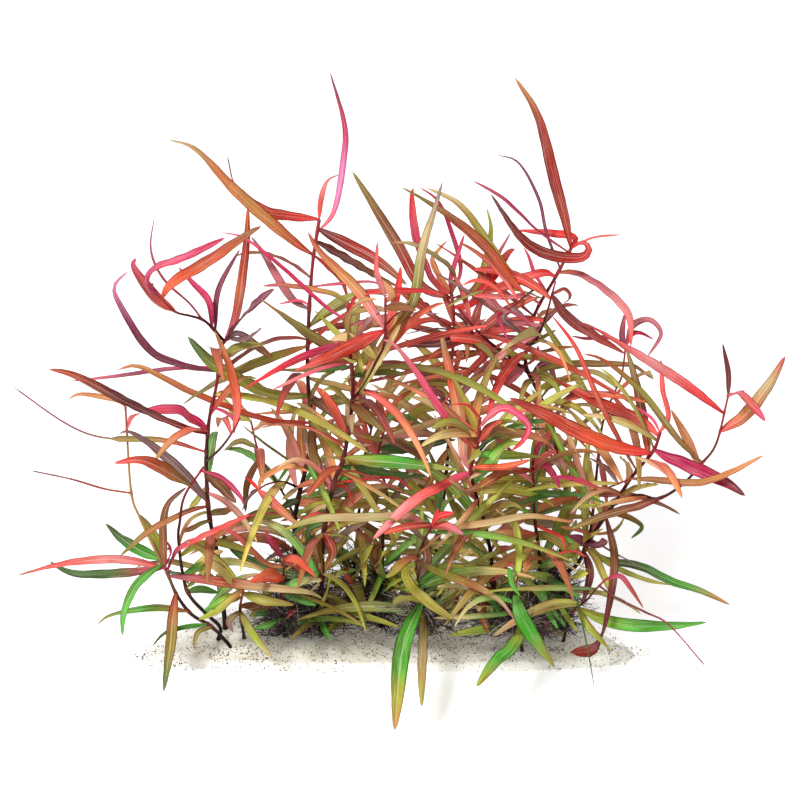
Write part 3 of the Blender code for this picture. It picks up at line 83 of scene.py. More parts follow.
# Floor and light
# A wide matt floor, nearly white, under large soft lamps: one high at the front left, one at the
# right, one behind for the edges of the leaves, and even light from all round.
FLOOR_HALF = 30
FLOOR_COLOUR = (0.93, 0.93, 0.93, 1)
FLOOR_GLOW = 0.55
FLOOR_SHADE = 0.985
FLOOR_CLOUDS = 2
FLOOR_ROUGHNESS = 0.9
WORLD_STRENGTH = 0.18
LAMPS = {
    "key_lamp": ((-0.9, -1.1, 1.7), 0.7, 44),
    "side_lamp": ((1.3, -0.6, 1.1), 1.3, 7),
    "back_lamp": ((0.2, 1.5, 1.3), 1.4, 8),
}
LAMP_AIM = Vector((0, 0, 0.13))


class Wire:
    """A socket in a material's nodes. Arithmetic on it adds Math nodes; node() adds any other."""

    def __init__(self, tree, socket=None):
        self.tree = tree
        self.socket = socket

    def node(self, kind, settings=None, inputs=None, output=0):
        made = self.tree.nodes.new(kind)
        for name, value in (settings or {}).items():
            setattr(made, name, value)
        for name, value in (inputs or {}).items():
            if isinstance(value, Wire):
                self.tree.links.new(value.socket, made.inputs[name])
            else:
                made.inputs[name].default_value = value
        return Wire(self.tree, made.outputs[output])

    def math(self, operation, first, second, clamp=False):
        settings = {"operation": operation, "use_clamp": clamp}
        return self.node("ShaderNodeMath", settings, {0: first, 1: second})

    def __add__(self, other):
        return self.math("ADD", self, other)

    __radd__ = __add__

    def __sub__(self, other):
        return self.math("SUBTRACT", self, other)

    def __rsub__(self, other):
        return self.math("SUBTRACT", other, self)

    def __mul__(self, other):
        return self.math("MULTIPLY", self, other)

    __rmul__ = __mul__

    def __pow__(self, other):
        return self.math("POWER", self, other)

    def __abs__(self):
        return self.math("ABSOLUTE", self, 0)

    def sine(self):
        return self.math("SINE", self, 0)

    def clamped(self):
        """The value held between 0 and 1."""
        return self.math("ADD", self, 0, True)

    def above(self, start, rise):
        """0 up to a start, then rising by so much for each unit, up to 1."""
        return ((self - start) * rise).clamped()

    def below(self, start, rise):
        return ((start - self) * rise).clamped()

    def mix(self, factor, first, second, way="MIX"):
        """A colour between two others."""
        settings = {"data_type": "RGBA", "blend_type": way, "clamp_factor": True}
        return self.node("ShaderNodeMix", settings, {0: factor, 6: first, 7: second}, 2)

    def tinted(self, tint):
        return self.mix(1.0, self, (*tint, 1), "MULTIPLY")

    def under(self, *layers):
        """This colour with others laid over it in turn, each as how far it covers and what it is."""
        colour = self
        for cover, layer in layers:
            colour = self.mix(cover, colour, layer)
        return colour

    def attribute(self, name, output="Fac"):
        return self.node("ShaderNodeAttribute", {"attribute_name": name}, output=output)

    def place(self):
        return self.node("ShaderNodeTexCoord", output="Object")

    def noise(self, scale, detail=2, vector=None):
        """Even cloudy noise from 0 to 1, with scale in waves to the metre."""
        inputs = {"Vector": vector or self.place(), "Scale": scale, "Detail": detail}
        return self.node("ShaderNodeTexNoise", None, inputs)


def new_material(name):
    """A material with its Principled shader, and the Wire that its nodes are made with."""
    material = bpy.data.materials.new(name)
    material.use_nodes = True
    shader = material.node_tree.nodes["Principled BSDF"]
    return material, shader, Wire(material.node_tree)


def feed(shader, name, wire):
    wire.tree.links.new(wire.socket, shader.inputs[name])


def feed_bump(shader, height, distance):
    """Raises the surface by a height from 0 to 1 times a distance."""
    feed(shader, "Normal", height.node("ShaderNodeBump", None, {"Height": height, "Distance": distance}))


bpy.ops.mesh.primitive_plane_add(size=2 * FLOOR_HALF)
floor = bpy.context.object
floor.name = "floor"
floor_material, floor_shader, floor_wire = new_material("floor")
floor_grey = (*(value * FLOOR_SHADE for value in FLOOR_COLOUR[:3]), 1)
floor_cloud = floor_wire.noise(FLOOR_CLOUDS)
feed(floor_shader, "Base Color", floor_wire.mix(floor_cloud, FLOOR_COLOUR, floor_grey))
floor_shader.inputs["Roughness"].default_value = FLOOR_ROUGHNESS
floor_shader.inputs["Emission Color"].default_value = FLOOR_COLOUR
floor_shader.inputs["Emission Strength"].default_value = FLOOR_GLOW
floor.data.materials.append(floor_material)

for lamp_name, (lamp_place, lamp_size, lamp_power) in LAMPS.items():
    lamp = bpy.data.objects.new(lamp_name, bpy.data.lights.new(lamp_name, "AREA"))
    lamp.data.shape = "DISK"
    lamp.data.size = lamp_size
    lamp.data.energy = lamp_power
    lamp.location = lamp_place
    lamp.rotation_euler = (LAMP_AIM - Vector(lamp_place)).to_track_quat("-Z", "Y").to_euler()
    scene.collection.objects.link(lamp)
scene.world = bpy.data.worlds.new("even_light")
scene.world.use_nodes = True
even_light = scene.world.node_tree.nodes["Background"].inputs
even_light["Color"].default_value = (1, 1, 1, 1)
even_light["Strength"].default_value = WORLD_STRENGTH
scene.view_settings.view_transform = "Standard"


# Sand
# A thin patch of pale sand that the shoots are planted in, loose and uneven, feathering out to single
# grains at its edge. It is a low relief with the grains lying on it.
SAND_HALF_LENGTH = 0.133
SAND_ACROSS = -0.006
SAND_FRONT = -0.037
SAND_ENDS = -0.021
SAND_BACK = 0.046
SAND_TOP = 0.004
SAND_BANK = 0.16
SAND_ROUND = 0.8
SAND_LIP = 0.0002
SAND_FRONT_POWERS = (0.62, 0.8)
SAND_BACK_POWERS = (0.95, 1.5)
SAND_MIDDLE = Vector((SAND_ACROSS, -0.012, 0))
SAND_RAGGED = ((0.014, 90), (0.012, 300), (0.010, 900))
SAND_LEVEL = 0.88
SAND_BUMPS = ((0.16, 60), (0.08, 240))
SAND_ANGLES = 360
SAND_RINGS = 46
SAND_CREAM = (0.90, 0.86, 0.74, 1)
SAND_LIGHT = (0.96, 0.955, 0.92, 1)
# Painted light: how strongly the sand glows with its own colour, so it shows brighter than the lamps leave
# it.
SAND_PAINTED_GLOW = 0.18
SAND_TAN = (0.42, 0.36, 0.26, 1)
SAND_DARK = (0.05, 0.045, 0.04, 1)
SAND_ROUGH = 0.0006
SAND_FINE_WAVES = 1500
SAND_COARSE_WAVES = 420
SAND_BROAD_WAVES = 45


class Skin:
    """Corners and faces gathered for one mesh, with values given to each corner."""

    def __init__(self):
        self.corners = []
        self.faces = []
        self.values = {}
        self.count = 0

    def add(self, corners, faces, **values):
        """Adds corners, faces that count from the first of them, and a value for each corner."""
        self.corners.append(np.asarray(corners, dtype=float).reshape(-1, 3))
        self.faces += [tuple(corner + self.count for corner in face) for face in faces]
        for name, value in values.items():
            self.values.setdefault(name, []).append(np.asarray(value, dtype=float))
        self.count += len(self.corners[-1])

    def make(self, name, material, slot, *nodes):
        """Makes the piece. It rides with the clump and stands for the solids named."""
        mesh = bpy.data.meshes.new(name)
        mesh.from_pydata(np.concatenate(self.corners).tolist(), [], self.faces)
        for key, values in self.values.items():
            flat = np.concatenate(values)
            if flat.ndim == 2:
                layer = mesh.attributes.new(key, "FLOAT_COLOR", "POINT")
                full = np.concatenate([flat, np.ones((len(flat), 1))], axis=1)
                layer.data.foreach_set("color", full.ravel())
            else:
                layer = mesh.attributes.new(key, "FLOAT", "POINT")
                layer.data.foreach_set("value", flat)
        mesh.materials.append(material)
        mesh.shade_smooth()
        piece = bpy.data.objects.new(name, mesh)
        scene.collection.objects.link(piece)
        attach(piece, "root")
        if nodes:
            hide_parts(*nodes)


def loft_faces(rings, sides, closed_ends=True):
    """Faces over rings of corners, each ring after the one before, with a face at each end or not."""
    faces = []
    for ring in range(rings - 1):
        for side in range(sides):
            a = ring * sides + side
            b = ring * sides + (side + 1) % sides
            faces.append((a, b, b + sides, a + sides))
    if closed_ends:
        last = (rings - 1) * sides
        faces.append(tuple(reversed(range(sides))))
        faces.append(tuple(range(last, last + sides)))
    return faces


def patch_edge(angle):
    """The outline of the patch of sand at an angle round its middle."""
    across = math.cos(angle)
    deep = math.sin(angle)
    far, (length_power, depth_power) = SAND_BACK, SAND_BACK_POWERS
    if deep < 0:
        far, (length_power, depth_power) = SAND_FRONT, SAND_FRONT_POWERS
    x = math.copysign(abs(across) ** length_power, across) * SAND_HALF_LENGTH
    return Vector((SAND_ACROSS + x, SAND_ENDS + (far - SAND_ENDS) * abs(deep) ** depth_power, 0))


def uneven(point, bumps, level=0):
    """A level with noises added, each given by its height and its waves to the metre."""
    return sum((height * noise.noise(point * waves) for height, waves in bumps), level)


def sand_place(angle, share):
    """A point of the sand's surface, at a share of the way from its middle to its edge."""
    edge = patch_edge(angle)
    ragged = uneven(edge, SAND_RAGGED)
    point = SAND_MIDDLE + (edge - SAND_MIDDLE) * share * (1 + ragged * share ** 3)
    bank = min(1, (1 - share) / SAND_BANK) if share < 1 else 0
    height = SAND_TOP * math.sin(bank * math.pi / 2) ** SAND_ROUND
    height *= uneven(point, SAND_BUMPS, SAND_LEVEL)
    point.z = max(0, min(height, SAND_TOP))
    return point


sand_skin = Skin()
sand_shares = [math.sin(ring / SAND_RINGS * math.pi / 2) for ring in range(1, SAND_RINGS + 1)]
sand_rings = []
for sand_share in reversed(sand_shares):
    for number in range(SAND_ANGLES):
        sand_rings.append(sand_place(number * math.tau / SAND_ANGLES, sand_share))
sand_edges = np.repeat([1] + sand_shares[::-1], SAND_ANGLES)
sand_foot = [Vector((corner.x, corner.y, 0)) for corner in sand_rings[:SAND_ANGLES]]
for corner in sand_rings[:SAND_ANGLES]:
    corner.z = SAND_LIP
sand_faces = loft_faces(SAND_RINGS + 1, SAND_ANGLES)
sand_skin.add([tuple(corner) for corner in sand_foot + sand_rings], sand_faces, edge=sand_edges)

sand_material, sand_shader, sand_wire = new_material("sand")
sand_fine = sand_wire.noise(SAND_FINE_WAVES, 3)
sand_coarse = sand_wire.noise(SAND_COARSE_WAVES)
sand_broad = sand_wire.noise(SAND_BROAD_WAVES)
sand_colour = sand_wire.mix(sand_fine * 1.4 - 0.2, SAND_CREAM, SAND_LIGHT).under(
    (sand_coarse.above(0.56, 6), SAND_TAN),
    (sand_fine.above(0.66, 12), SAND_DARK),
    ((sand_broad * 0.4).clamped(), SAND_CREAM),
    (sand_wire.attribute("edge").above(0.80, 6) * 0.85, SAND_LIGHT),
)
feed(sand_shader, "Base Color", sand_colour)
# Painted light: the sand glows with its own colour, so it shows brighter than the lamps alone would make
# it.
feed(sand_shader, "Emission Color", sand_colour)
sand_shader.inputs["Emission Strength"].default_value = SAND_PAINTED_GLOW
feed(sand_shader, "Roughness", 0.82 + sand_fine * 0.15)
feed_bump(sand_shader, sand_fine * 0.7 + sand_coarse * 0.5, SAND_ROUGH)
sand_skin.make("sand_surface", sand_material, "sand", "sand_bed")

GRAINS = 17000
GRAIN_SEED = 11
GRAIN_SIZES = (0.00016, 0.00040)
GRAIN_SPILL = 1.09
GRAIN_SINK = 0.5
GRAIN_LUMPS = (0.7, 1.25)
GRAIN_STRETCH = (0.75, 1.2)
GRAIN_SHADES = (0.85, 1.1)
GRAIN_CLOUDS = 70
GRAIN_FINE_WAVES = 2500
GRAIN_MIXES = ((0.56, 0.36, 0.05, 0.03), (0.50, 0.27, 0.11, 0.12))
GRAIN_CORNERS = np.array([(1, 0, 0), (0, 1, 0), (-1, 0, 0), (0, -1, 0), (0, 0, 1), (0, 0, -1)])
GRAIN_FACES = [(0, 1, 4), (1, 2, 4), (2, 3, 4), (3, 0, 4), (1, 0, 5), (2, 1, 5), (3, 2, 5), (0, 3, 5)]
GRAIN_GROWTHS = (1, 1, 1.25, 1.45)
GRAIN_TONES = np.array([SAND_CREAM[:3], SAND_LIGHT[:3], SAND_TAN[:3], SAND_DARK[:3]])
grain_skin = Skin()
chance = np.random.default_rng(GRAIN_SEED)
for grain in range(GRAINS):
    reach = math.sqrt(chance.random()) * GRAIN_SPILL
    size = chance.uniform(*GRAIN_SIZES)
    point = sand_place(chance.uniform(0, math.tau), reach)
    if reach > 1 and chance.random() < (reach - 1) / (GRAIN_SPILL - 1):
        continue
    point.z = max(point.z + size * GRAIN_SINK, size)
    lumps = chance.uniform(*GRAIN_LUMPS, (len(GRAIN_CORNERS), 1))
    stretch = chance.uniform(*GRAIN_STRETCH, 3)
    shape = GRAIN_CORNERS * size * lumps * stretch
    turn = chance.uniform(0, math.pi)
    spun = shape.copy()
    spun[:, 0] = shape[:, 0] * math.cos(turn) - shape[:, 1] * math.sin(turn)
    spun[:, 1] = shape[:, 0] * math.sin(turn) + shape[:, 1] * math.cos(turn)
    kind = chance.choice(len(GRAIN_TONES), p=GRAIN_MIXES[noise.noise(point * GRAIN_CLOUDS) > 0])
    tone = GRAIN_TONES[kind] * chance.uniform(*GRAIN_SHADES)
    spun *= GRAIN_GROWTHS[kind]
    point.z = max(point.z, -spun[:, 2].min())
    grain_skin.add(spun + np.array(point), GRAIN_FACES, tone=np.tile(tone, (len(spun), 1)))
grain_material, grain_shader, grain_wire = new_material("sand_grain")
feed(grain_shader, "Base Color", grain_wire.attribute("tone", "Color"))
feed(grain_shader, "Roughness", 0.45 + grain_wire.noise(GRAIN_FINE_WAVES) * 0.4)
grain_skin.make("sand_grains", grain_material, "sand")


# Routes
# Every stem and leaf follows a route read on the view, and reaches back or forward from it. A leaf of
# the hidden side has no route: it stands out from its stem, rises a little and bends over.
GAP = 0.0003
STEM_STEP = 0.0025
LEAST_STEPS = 8
LEAST_PIECE = 1e-9
CURVE_PIECES = 6
LEAF_BOW = 0.12
LEAF_RINGS = 26
FIT_SHARES = (0.34, 0.5, 0.67, 1)
WAY_STEP = 0.005
WAY_STEPS = 9
ROUND_TURN = math.radians(137.5)
ROUND_SWING = math.radians(12)
ROUND_SWINGS = 7
ROUND_LOWEST = 0.16
ROUND_HIGHEST = 0.86
ROUND_LENGTHS = (0.058, 0.074, 0.066)
ROUND_RISE = math.radians(32)
ROUND_DROOP = 0.48
ROUND_SIDE_SHARE = 0.55


def read_route(text):
    """A route on the view, written as across,up pairs in millimetres."""
    return [tuple(float(value) for value in pair.split(",")) for pair in text.split()]


def smooth_line(points, shares):
    """Points at the given shares of the length of a smooth curve through the points."""
    line = []
    ends = [points[0] * 2 - points[1], *points, points[-1] * 2 - points[-2]]
    for before, start, end, after in zip(ends, ends[1:], ends[2:], ends[3:]):
        for piece in range(CURVE_PIECES):
            t = piece / CURVE_PIECES
            pull_start = (end - before) / 2
            pull_end = (after - start) / 2
            line.append(
                start * (2 * t ** 3 - 3 * t ** 2 + 1) + pull_start * (t ** 3 - 2 * t ** 2 + t)
                + end * (3 * t ** 2 - 2 * t ** 3) + pull_end * (t ** 3 - t ** 2)
            )
    line.append(points[-1])
    lengths = [0.0]
    for start, end in zip(line, line[1:]):
        lengths.append(lengths[-1] + (end - start).length)
    found = []
    at = 0
    for share in shares:
        want = share * lengths[-1]
        while at < len(line) - 2 and lengths[at + 1] < want:
            at += 1
        part = (want - lengths[at]) / max(lengths[at + 1] - lengths[at], LEAST_PIECE)
        found.append(line[at].lerp(line[at + 1], part))
    return found


def length_of(points):
    return sum((end - start).length for start, end in zip(points, points[1:]))


def nearest(line, shown):
    """The point of a line that shows nearest to a place on the view."""
    target = Vector(shown) * MM
    return min(line, key=lambda point: (place_on_view(point) - target).length)


def distance_on_view(line, shown):
    return (place_on_view(nearest(line, shown)) - Vector(shown) * MM).length


def stem_line(stem, parent):
    """The middle line of a stem, or of a branch that starts on its parent's line."""
    if stem.foot:
        across, depth = stem.foot
        start = Vector((across * MM, depth * MM, SAND_TOP + GAP))
        shown = stem.route
    else:
        start = nearest(parent, stem.route[0])
        shown = stem.route[1:]
    route = [place_on_view(start)] + [Vector(point) * MM for point in shown]
    count = max(LEAST_STEPS, round(length_of(route) / STEM_STEP))
    shares = [at / count for at in range(count + 1)]
    line = []
    for share, point in zip(shares, smooth_line(route, shares)):
        depth = start.y + (stem.depth * MM - start.y) * share
        depth += stem.bow * MM * math.sin(share * math.pi)
        line.append(seen(point.x, point.y, depth))
    line[0] = start
    return line


def leaf_line(leaf, base, way, shares):
    """The middle line of a leaf whose reach gives way by a few millimetres."""
    route = [place_on_view(base)] + [Vector(point) * MM for point in leaf.route[1:]]
    reach = leaf.reach * MM + way
    line = []
    for share, point in zip(shares, smooth_line(route, shares)):
        depth = base.y + reach * (share + LEAF_BOW * math.sin(math.pi * share))
        line.append(seen(point.x, point.y, depth))
    return line


def round_line(stem, number, count, turn, shares):
    """The middle line of a leaf of the hidden side: out from the stem, up a little, and over."""
    share = ROUND_LOWEST + (ROUND_HIGHEST - ROUND_LOWEST) * number / (count - 1)
    base = smooth_line(stem, [share])[0]
    out = Vector((math.cos(turn) * ROUND_SIDE_SHARE, math.sin(turn), 0)).normalized()
    length = ROUND_LENGTHS[number % len(ROUND_LENGTHS)]
    line = []
    for at in shares:
        rise = at * math.sin(ROUND_RISE) - at * at * ROUND_DROOP
        line.append(base + (out * (at * math.cos(ROUND_RISE)) + Vector((0, 0, rise))) * length)
    return line


def steps_aside(step_size, steps):
    """Nothing, and then a growing number of steps to the one side and the other."""
    yield 0
    for step in range(1, steps + 1):
        yield step * step_size
        yield -step * step_size


def surface_of(node):
    mesh = frame["nodes"][node].data
    corners = [tuple(corner.co) for corner in mesh.vertices]
    return BVHTree.FromPolygons(corners, [tuple(face.vertices) for face in mesh.polygons])


def nearest_way(surface, ways, line_for):
    """The way, among several, in which a leaf lies nearest to a solid's surface."""
    def away(way):
        return sum(surface.find_nearest(point)[3] for point in line_for(way))
    return min(ways, key=away)


# Leaves
# A leaf is a long thin blade on a short stalk, a little folded and rippled, with a raised midrib, fine
# side veins and a darker margin. It passes from one colour to the next along its length.
BLADE_ACROSS = np.array([-1, -0.72, -0.4, 0, 0.4, 0.72, 1])
BLADE_THICKNESS = 0.00026
EDGE_THINNING = 0.75
BLADE_SKEW = 0.75
BLADE_FULLNESS = 0.7
TIP_FROM = 0.6
TIP_FULLNESS = 0.18
BLADE_FOLD = 0.20
FOLD_LUCK = (0.5, 1.5)
BLADE_TWIST = math.radians(24)
TWIST_TURNS = 1.5
BLADE_LIFT = 0.45
LEAST_SEEN_SHARE = 0.5
RIPPLE = 0.09
RIPPLE_LENGTHS = (0.010, 0.018)
PETIOLE_WIDTH = 0.0011
PETIOLE_DEPTH = 0.0008
PETIOLE_SHARE = 0.07
STALK_TAPER = 0.5
MIDRIB_DEPTH = 0.00045
MIDRIB_WIDTH = 0.16
MIDRIB_LEAST = 0.2
THREAD_WIDTH = 0.0013
THREAD_TAPER = 0.5
POD_FROM = 0.78
POD_WIDTH = 0.0062
POD_NECK = 0.0016
POD_FULLNESS = 0.7
COLOURS = {
    "scarlet": (0.78, 0.022, 0.022),
    "coral": (0.86, 0.10, 0.09),
    "pink": (0.88, 0.08, 0.20),
    "magenta": (0.52, 0.008, 0.09),
    "brick": (0.31, 0.020, 0.009),
    "maroon": (0.13, 0.008, 0.006),
    "tan": (0.60, 0.25, 0.07),
    "rust": (0.48, 0.085, 0.018),
    "peach": (0.84, 0.12, 0.04),
    "brown": (0.25, 0.10, 0.018),
    "olive": (0.27, 0.25, 0.03),
    "lime": (0.38, 0.43, 0.035),
    "green": (0.07, 0.42, 0.03),
    "fern": (0.045, 0.15, 0.022),
    "mauve": (0.26, 0.17, 0.17),
    "rose": (0.60, 0.15, 0.20),
    "plum": (0.22, 0.03, 0.08),
    "lilac": (0.72, 0.20, 0.45),
    "blush": (0.82, 0.25, 0.26),
    "straw": (0.56, 0.45, 0.19),
    "ember": (0.52, 0.040, 0.012),
}
LEAF_SPREAD = 0.16
INNER_SPREAD = 0.34
# Painted light: how much brighter and paler the leaves of the heart are made, standing in for light that
# shines through the leaves into it.
INNER_PAINTED_LIGHT = 1.6
PAINTED_LIGHT_LESS = 0.6
INNER_PAINTED_PALENESS = 0.045
PAINTED_LIGHT_TONE = np.array((0.86, 0.66, 0.56))
BRIGHTEST = 0.95
# Painted light: how strongly the leaves glow with their own colour, standing in for light shining through
# the thin blades.
LEAF_PAINTED_GLOW = 0.09
LEAF_GLOSS = 0.14
VEIN_HEIGHT = 0.0002
VEIN_WAVES = 2100
VEIN_SLANT = 5.5
MOTTLE_WAVES = 150
CLOUD_WAVES = 38
# Tint of the darker tone: used for the random dark streaks and mottles and for the painted shade on one
# half of each blade.
DARK_AND_SHADE_TINT = (0.48, 0.28, 0.25)
# Tint and colour of the painted highlight streaks on the leaves, also used for their real pale midrib.
HIGHLIGHT_AND_RIB_TINT = (1.3, 1.25, 1.25)
RED_TINT = (1.25, 0.52, 0.50)
GREEN_TINT = (0.80, 1.30, 0.85)
MARGIN_TINT = (0.30, 0.12, 0.12)
LEAF_CREAM = (0.98, 0.70, 0.52, 1)
LEAF_HIGHLIGHT_AND_RIB = (0.98, 0.76, 0.72, 1)
LEAF_UNDERSIDE = (0.45, 0.16, 0.10, 1)
Leaf = namedtuple("Leaf", "width reach colours route thread pod", defaults=(1, False))


def read_leaf(row):
    """A leaf from its row: its width, how far back its tip reaches (minus is towards the viewer), its
    colours from base to tip, and after a colon its route. The word thread gives the share of its length
    where it turns to a thread, and pod makes its end a rolled tip on a narrow neck."""
    facts, route = row.split(":")
    width, reach, *words = facts.split()
    colours = " ".join(word for word in words if word in COLOURS)
    thread = float(words[-1]) if "thread" in words else 1
    return Leaf(float(width), float(reach), colours, read_route(route), thread, "pod" in words)


def tones_along(names, shares, luck, spread, inner):
    """Colours at shares of a length, through the named ones, each leaf a little apart from the next."""
    stops = np.array([COLOURS[name] for name in names.split()])
    if len(stops) == 1:
        stops = np.repeat(stops, 2, axis=0)
    place = np.clip(np.asarray(shares), 0, 1) * (len(stops) - 1)
    low = np.minimum(place.astype(int), len(stops) - 2)
    part = place - low
    part = (part * part * (3 - 2 * part))[:, None]
    apart = luck.uniform(1 - spread, 1 + spread) * luck.uniform(1 - spread / 3, 1 + spread / 3, 3)
    tones = (stops[low] * (1 - part) + stops[low + 1] * part) * apart
    # Painted light: the leaves of the heart are made brighter and a little paler, to stand in for light
    # shining through the leaves around them.
    if inner:
        tones = tones * (INNER_PAINTED_LIGHT - PAINTED_LIGHT_LESS * tones.max(axis=1, keepdims=True))
        tones = tones * (1 - INNER_PAINTED_PALENESS) + PAINTED_LIGHT_TONE * INNER_PAINTED_PALENESS
    return np.clip(tones, 0, BRIGHTEST)


def blade_share(share):
    """How much of its full width a blade has at a share of its length."""
    fullness = BLADE_FULLNESS - TIP_FULLNESS * max(0, (share - TIP_FROM) / (1 - TIP_FROM))
    return math.sin(math.pi * share ** BLADE_SKEW) ** fullness


def add_blade(skin, line, shares, widths, faces, tones, luck):
    """Adds a leaf: a thin folded and rippled blade with a raised midrib, from stalk to tip."""
    rings = []
    full = max(widths)
    length = length_of(line)
    twist = luck.uniform(-1, 1) * BLADE_TWIST
    twist_more = luck.uniform(-1, 1) * BLADE_TWIST
    fold = BLADE_FOLD * luck.uniform(*FOLD_LUCK)
    wave = luck.uniform(*RIPPLE_LENGTHS)
    phase = np.where(BLADE_ACROSS < 0, *luck.uniform(0, math.tau, 2))
    reach = np.abs(BLADE_ACROSS)
    for at, share in enumerate(shares[:-1]):
        along = (line[at + 1] - line[max(at - 1, 0)]).normalized()
        face = (faces[at] - along * faces[at].dot(along)).normalized()
        side = along.cross(face)
        angle = twist * share + twist_more * math.sin(share * math.pi * TWIST_TURNS)
        turned = side * math.cos(angle) + face * math.sin(angle)
        face = face * math.cos(angle) - side * math.sin(angle)
        half = widths[at] / 2
        stalk = max(0, 1 - share / PETIOLE_SHARE)
        thick = BLADE_THICKNESS + (PETIOLE_DEPTH - BLADE_THICKNESS) * stalk
        ripple = np.sin(share * length / wave * math.tau + phase)
        lift = half * (fold * reach + RIPPLE * ripple * reach ** 2 * (1 - stalk))
        half_thick = thick / 2 * (1 - EDGE_THINNING * reach ** 2)
        rib = MIDRIB_DEPTH * min(1, widths[at] / full + MIDRIB_LEAST)
        upper = lift + half_thick
        lower = lift - half_thick - rib * np.exp(-(BLADE_ACROSS / MIDRIB_WIDTH) ** 2)
        spots = [(x * half, z) for x, z in zip(BLADE_ACROSS, upper)]
        spots += [(x * half, z) for x, z in zip(BLADE_ACROSS[-2:0:-1], lower[-2:0:-1])]
        rings.append([line[at] + turned * x + face * z for x, z in spots])
    sides = len(rings[0])
    corners = [(corner.x, corner.y, max(corner.z, GAP)) for ring in rings for corner in ring]
    corners.append(tuple(line[-1]))
    faces_made = loft_faces(len(rings), sides, False)
    faces_made.append(tuple(reversed(range(sides))))
    last = (len(rings) - 1) * sides
    faces_made += [(last + side, last + (side + 1) % sides, len(corners) - 1) for side in range(sides)]
    across = np.concatenate([BLADE_ACROSS, BLADE_ACROSS[-2:0:-1]])
    under = np.concatenate([np.zeros(len(BLADE_ACROSS)), np.ones(len(BLADE_ACROSS) - 2)])
    count = len(rings)
    skin.add(
        corners, faces_made,
        tone=np.concatenate([np.repeat(tones[:count], sides, axis=0), tones[-1:]]),
        across=np.append(np.tile(across, count), 0),
        along=np.append(np.repeat(np.array(shares[:count]) * length, sides), length),
        under=np.append(np.tile(under, count), 0),
        luck=np.full(len(corners), luck.random()),
    )


def add_leaf(skin, leaf, line, shares, luck, spread=LEAF_SPREAD, inner=False):
    """Adds a leaf that follows a line, turned to show its width on the view."""
    widths = []
    faces = []
    for at, share in enumerate(shares):
        along = (line[min(at + 1, len(line) - 1)] - line[max(at - 1, 0)]).normalized()
        face = Vector((0, 0, BLADE_LIFT)) - FORWARD * (1 - BLADE_LIFT)
        face = (face - along * face.dot(along)).normalized()
        side = along.cross(face)
        seen_side = side - FORWARD * side.dot(FORWARD)
        seen_along = (along - FORWARD * along.dot(FORWARD)).normalized()
        shown = max(LEAST_SEEN_SHARE, seen_side.cross(seen_along).length)
        full = leaf.width * MM * blade_share(share)
        if share > leaf.thread:
            full = THREAD_WIDTH * (1 - THREAD_TAPER * share)
        if leaf.pod:
            full = leaf.width * MM * blade_share(min(1, share / POD_FROM))
            past = max(0, (share - POD_FROM) / (1 - POD_FROM))
            full = max(full, POD_NECK, POD_WIDTH * math.sin(math.pi * past) ** POD_FULLNESS)
        stalk = min(PETIOLE_WIDTH, leaf.width * MM) * (1 - share) ** STALK_TAPER
        widths.append(max(stalk, full) / shown)
        faces.append(face)
    tones = tones_along(leaf.colours, shares, luck, spread, inner)
    add_blade(skin, line, shares, widths, faces, tones, luck)


leaf_material, leaf_shader, leaf_wire = new_material("leaf")
tone = leaf_wire.attribute("tone", "Color")
across = leaf_wire.attribute("across")
reach = abs(across)
along = leaf_wire.attribute("along")
luck_value = leaf_wire.attribute("luck")


def drawn_out(scale, detail, across_scale, along_scale, luck_scale):
    """Noise drawn out along a leaf, and different on each leaf."""
    inputs = {"X": across * across_scale, "Y": along * along_scale, "Z": luck_value * luck_scale}
    return leaf_wire.noise(scale, detail, leaf_wire.node("ShaderNodeCombineXYZ", None, inputs))


streak = drawn_out(scale=1.6, detail=3, across_scale=5, along_scale=55, luck_scale=40)
# Painted highlight: pale streaks along each leaf, where a glossy shine would catch the light.
painted_highlight = drawn_out(scale=1.5, detail=2, across_scale=9, along_scale=32, luck_scale=90).above(0.53, 8)
patches = drawn_out(scale=1.2, detail=2, across_scale=0.9, along_scale=42, luck_scale=130)
mottle = leaf_wire.noise(MOTTLE_WAVES, 3)
cloud = leaf_wire.noise(CLOUD_WAVES)
midrib = (1 - reach * 8).clamped()
margin = reach.above(0.74, 3.8)
# Painted shade: one half of each blade, on one side of its midrib, is darkened as if turned away from the
# light.
painted_shade_half = ((across * (luck_value - 0.5) * 9) * 0.5 + 0.5).clamped()
vein_wave = ((along * VEIN_WAVES - reach * VEIN_SLANT + luck_value * 6).sine() * 0.5 + 0.5) ** 3
vein = vein_wave * (1 - margin) * (1 - midrib)
# A darker tone, used for the random dark streaks and mottles and for the painted shade on one half of the
# blade.
dark_and_shade_tone = tone.tinted(DARK_AND_SHADE_TINT)
pale_tone = leaf_wire.mix(0.22, tone, LEAF_CREAM)
# A paler tone, used for the painted highlight streaks and for the real pale midrib.
highlight_and_rib_tone = leaf_wire.mix(0.38, tone.tinted(HIGHLIGHT_AND_RIB_TINT), LEAF_HIGHLIGHT_AND_RIB)
colour = tone.under(
    (streak.above(0.46, 3.2) * 0.68, dark_and_shade_tone),
    (mottle.above(0.5, 3) * 0.35, dark_and_shade_tone),
    (painted_shade_half * 0.5, dark_and_shade_tone),
    (cloud.below(0.46, 3) * 0.5, pale_tone),
    (vein * 0.07, pale_tone),
)
colour = colour.under(
    (patches.above(0.52, 6) * 0.55, colour.tinted(RED_TINT)),
    (patches.below(0.44, 6) * 0.45, colour.tinted(GREEN_TINT)),
    # painted highlight streaks
    (painted_highlight * 0.58, highlight_and_rib_tone),
    (midrib * (0.2 + luck_value.above(0.55, 6) * 0.7), highlight_and_rib_tone),
    (margin * margin * 0.8, tone.tinted(MARGIN_TINT)),
    (leaf_wire.attribute("under") * 0.2, LEAF_UNDERSIDE),
)
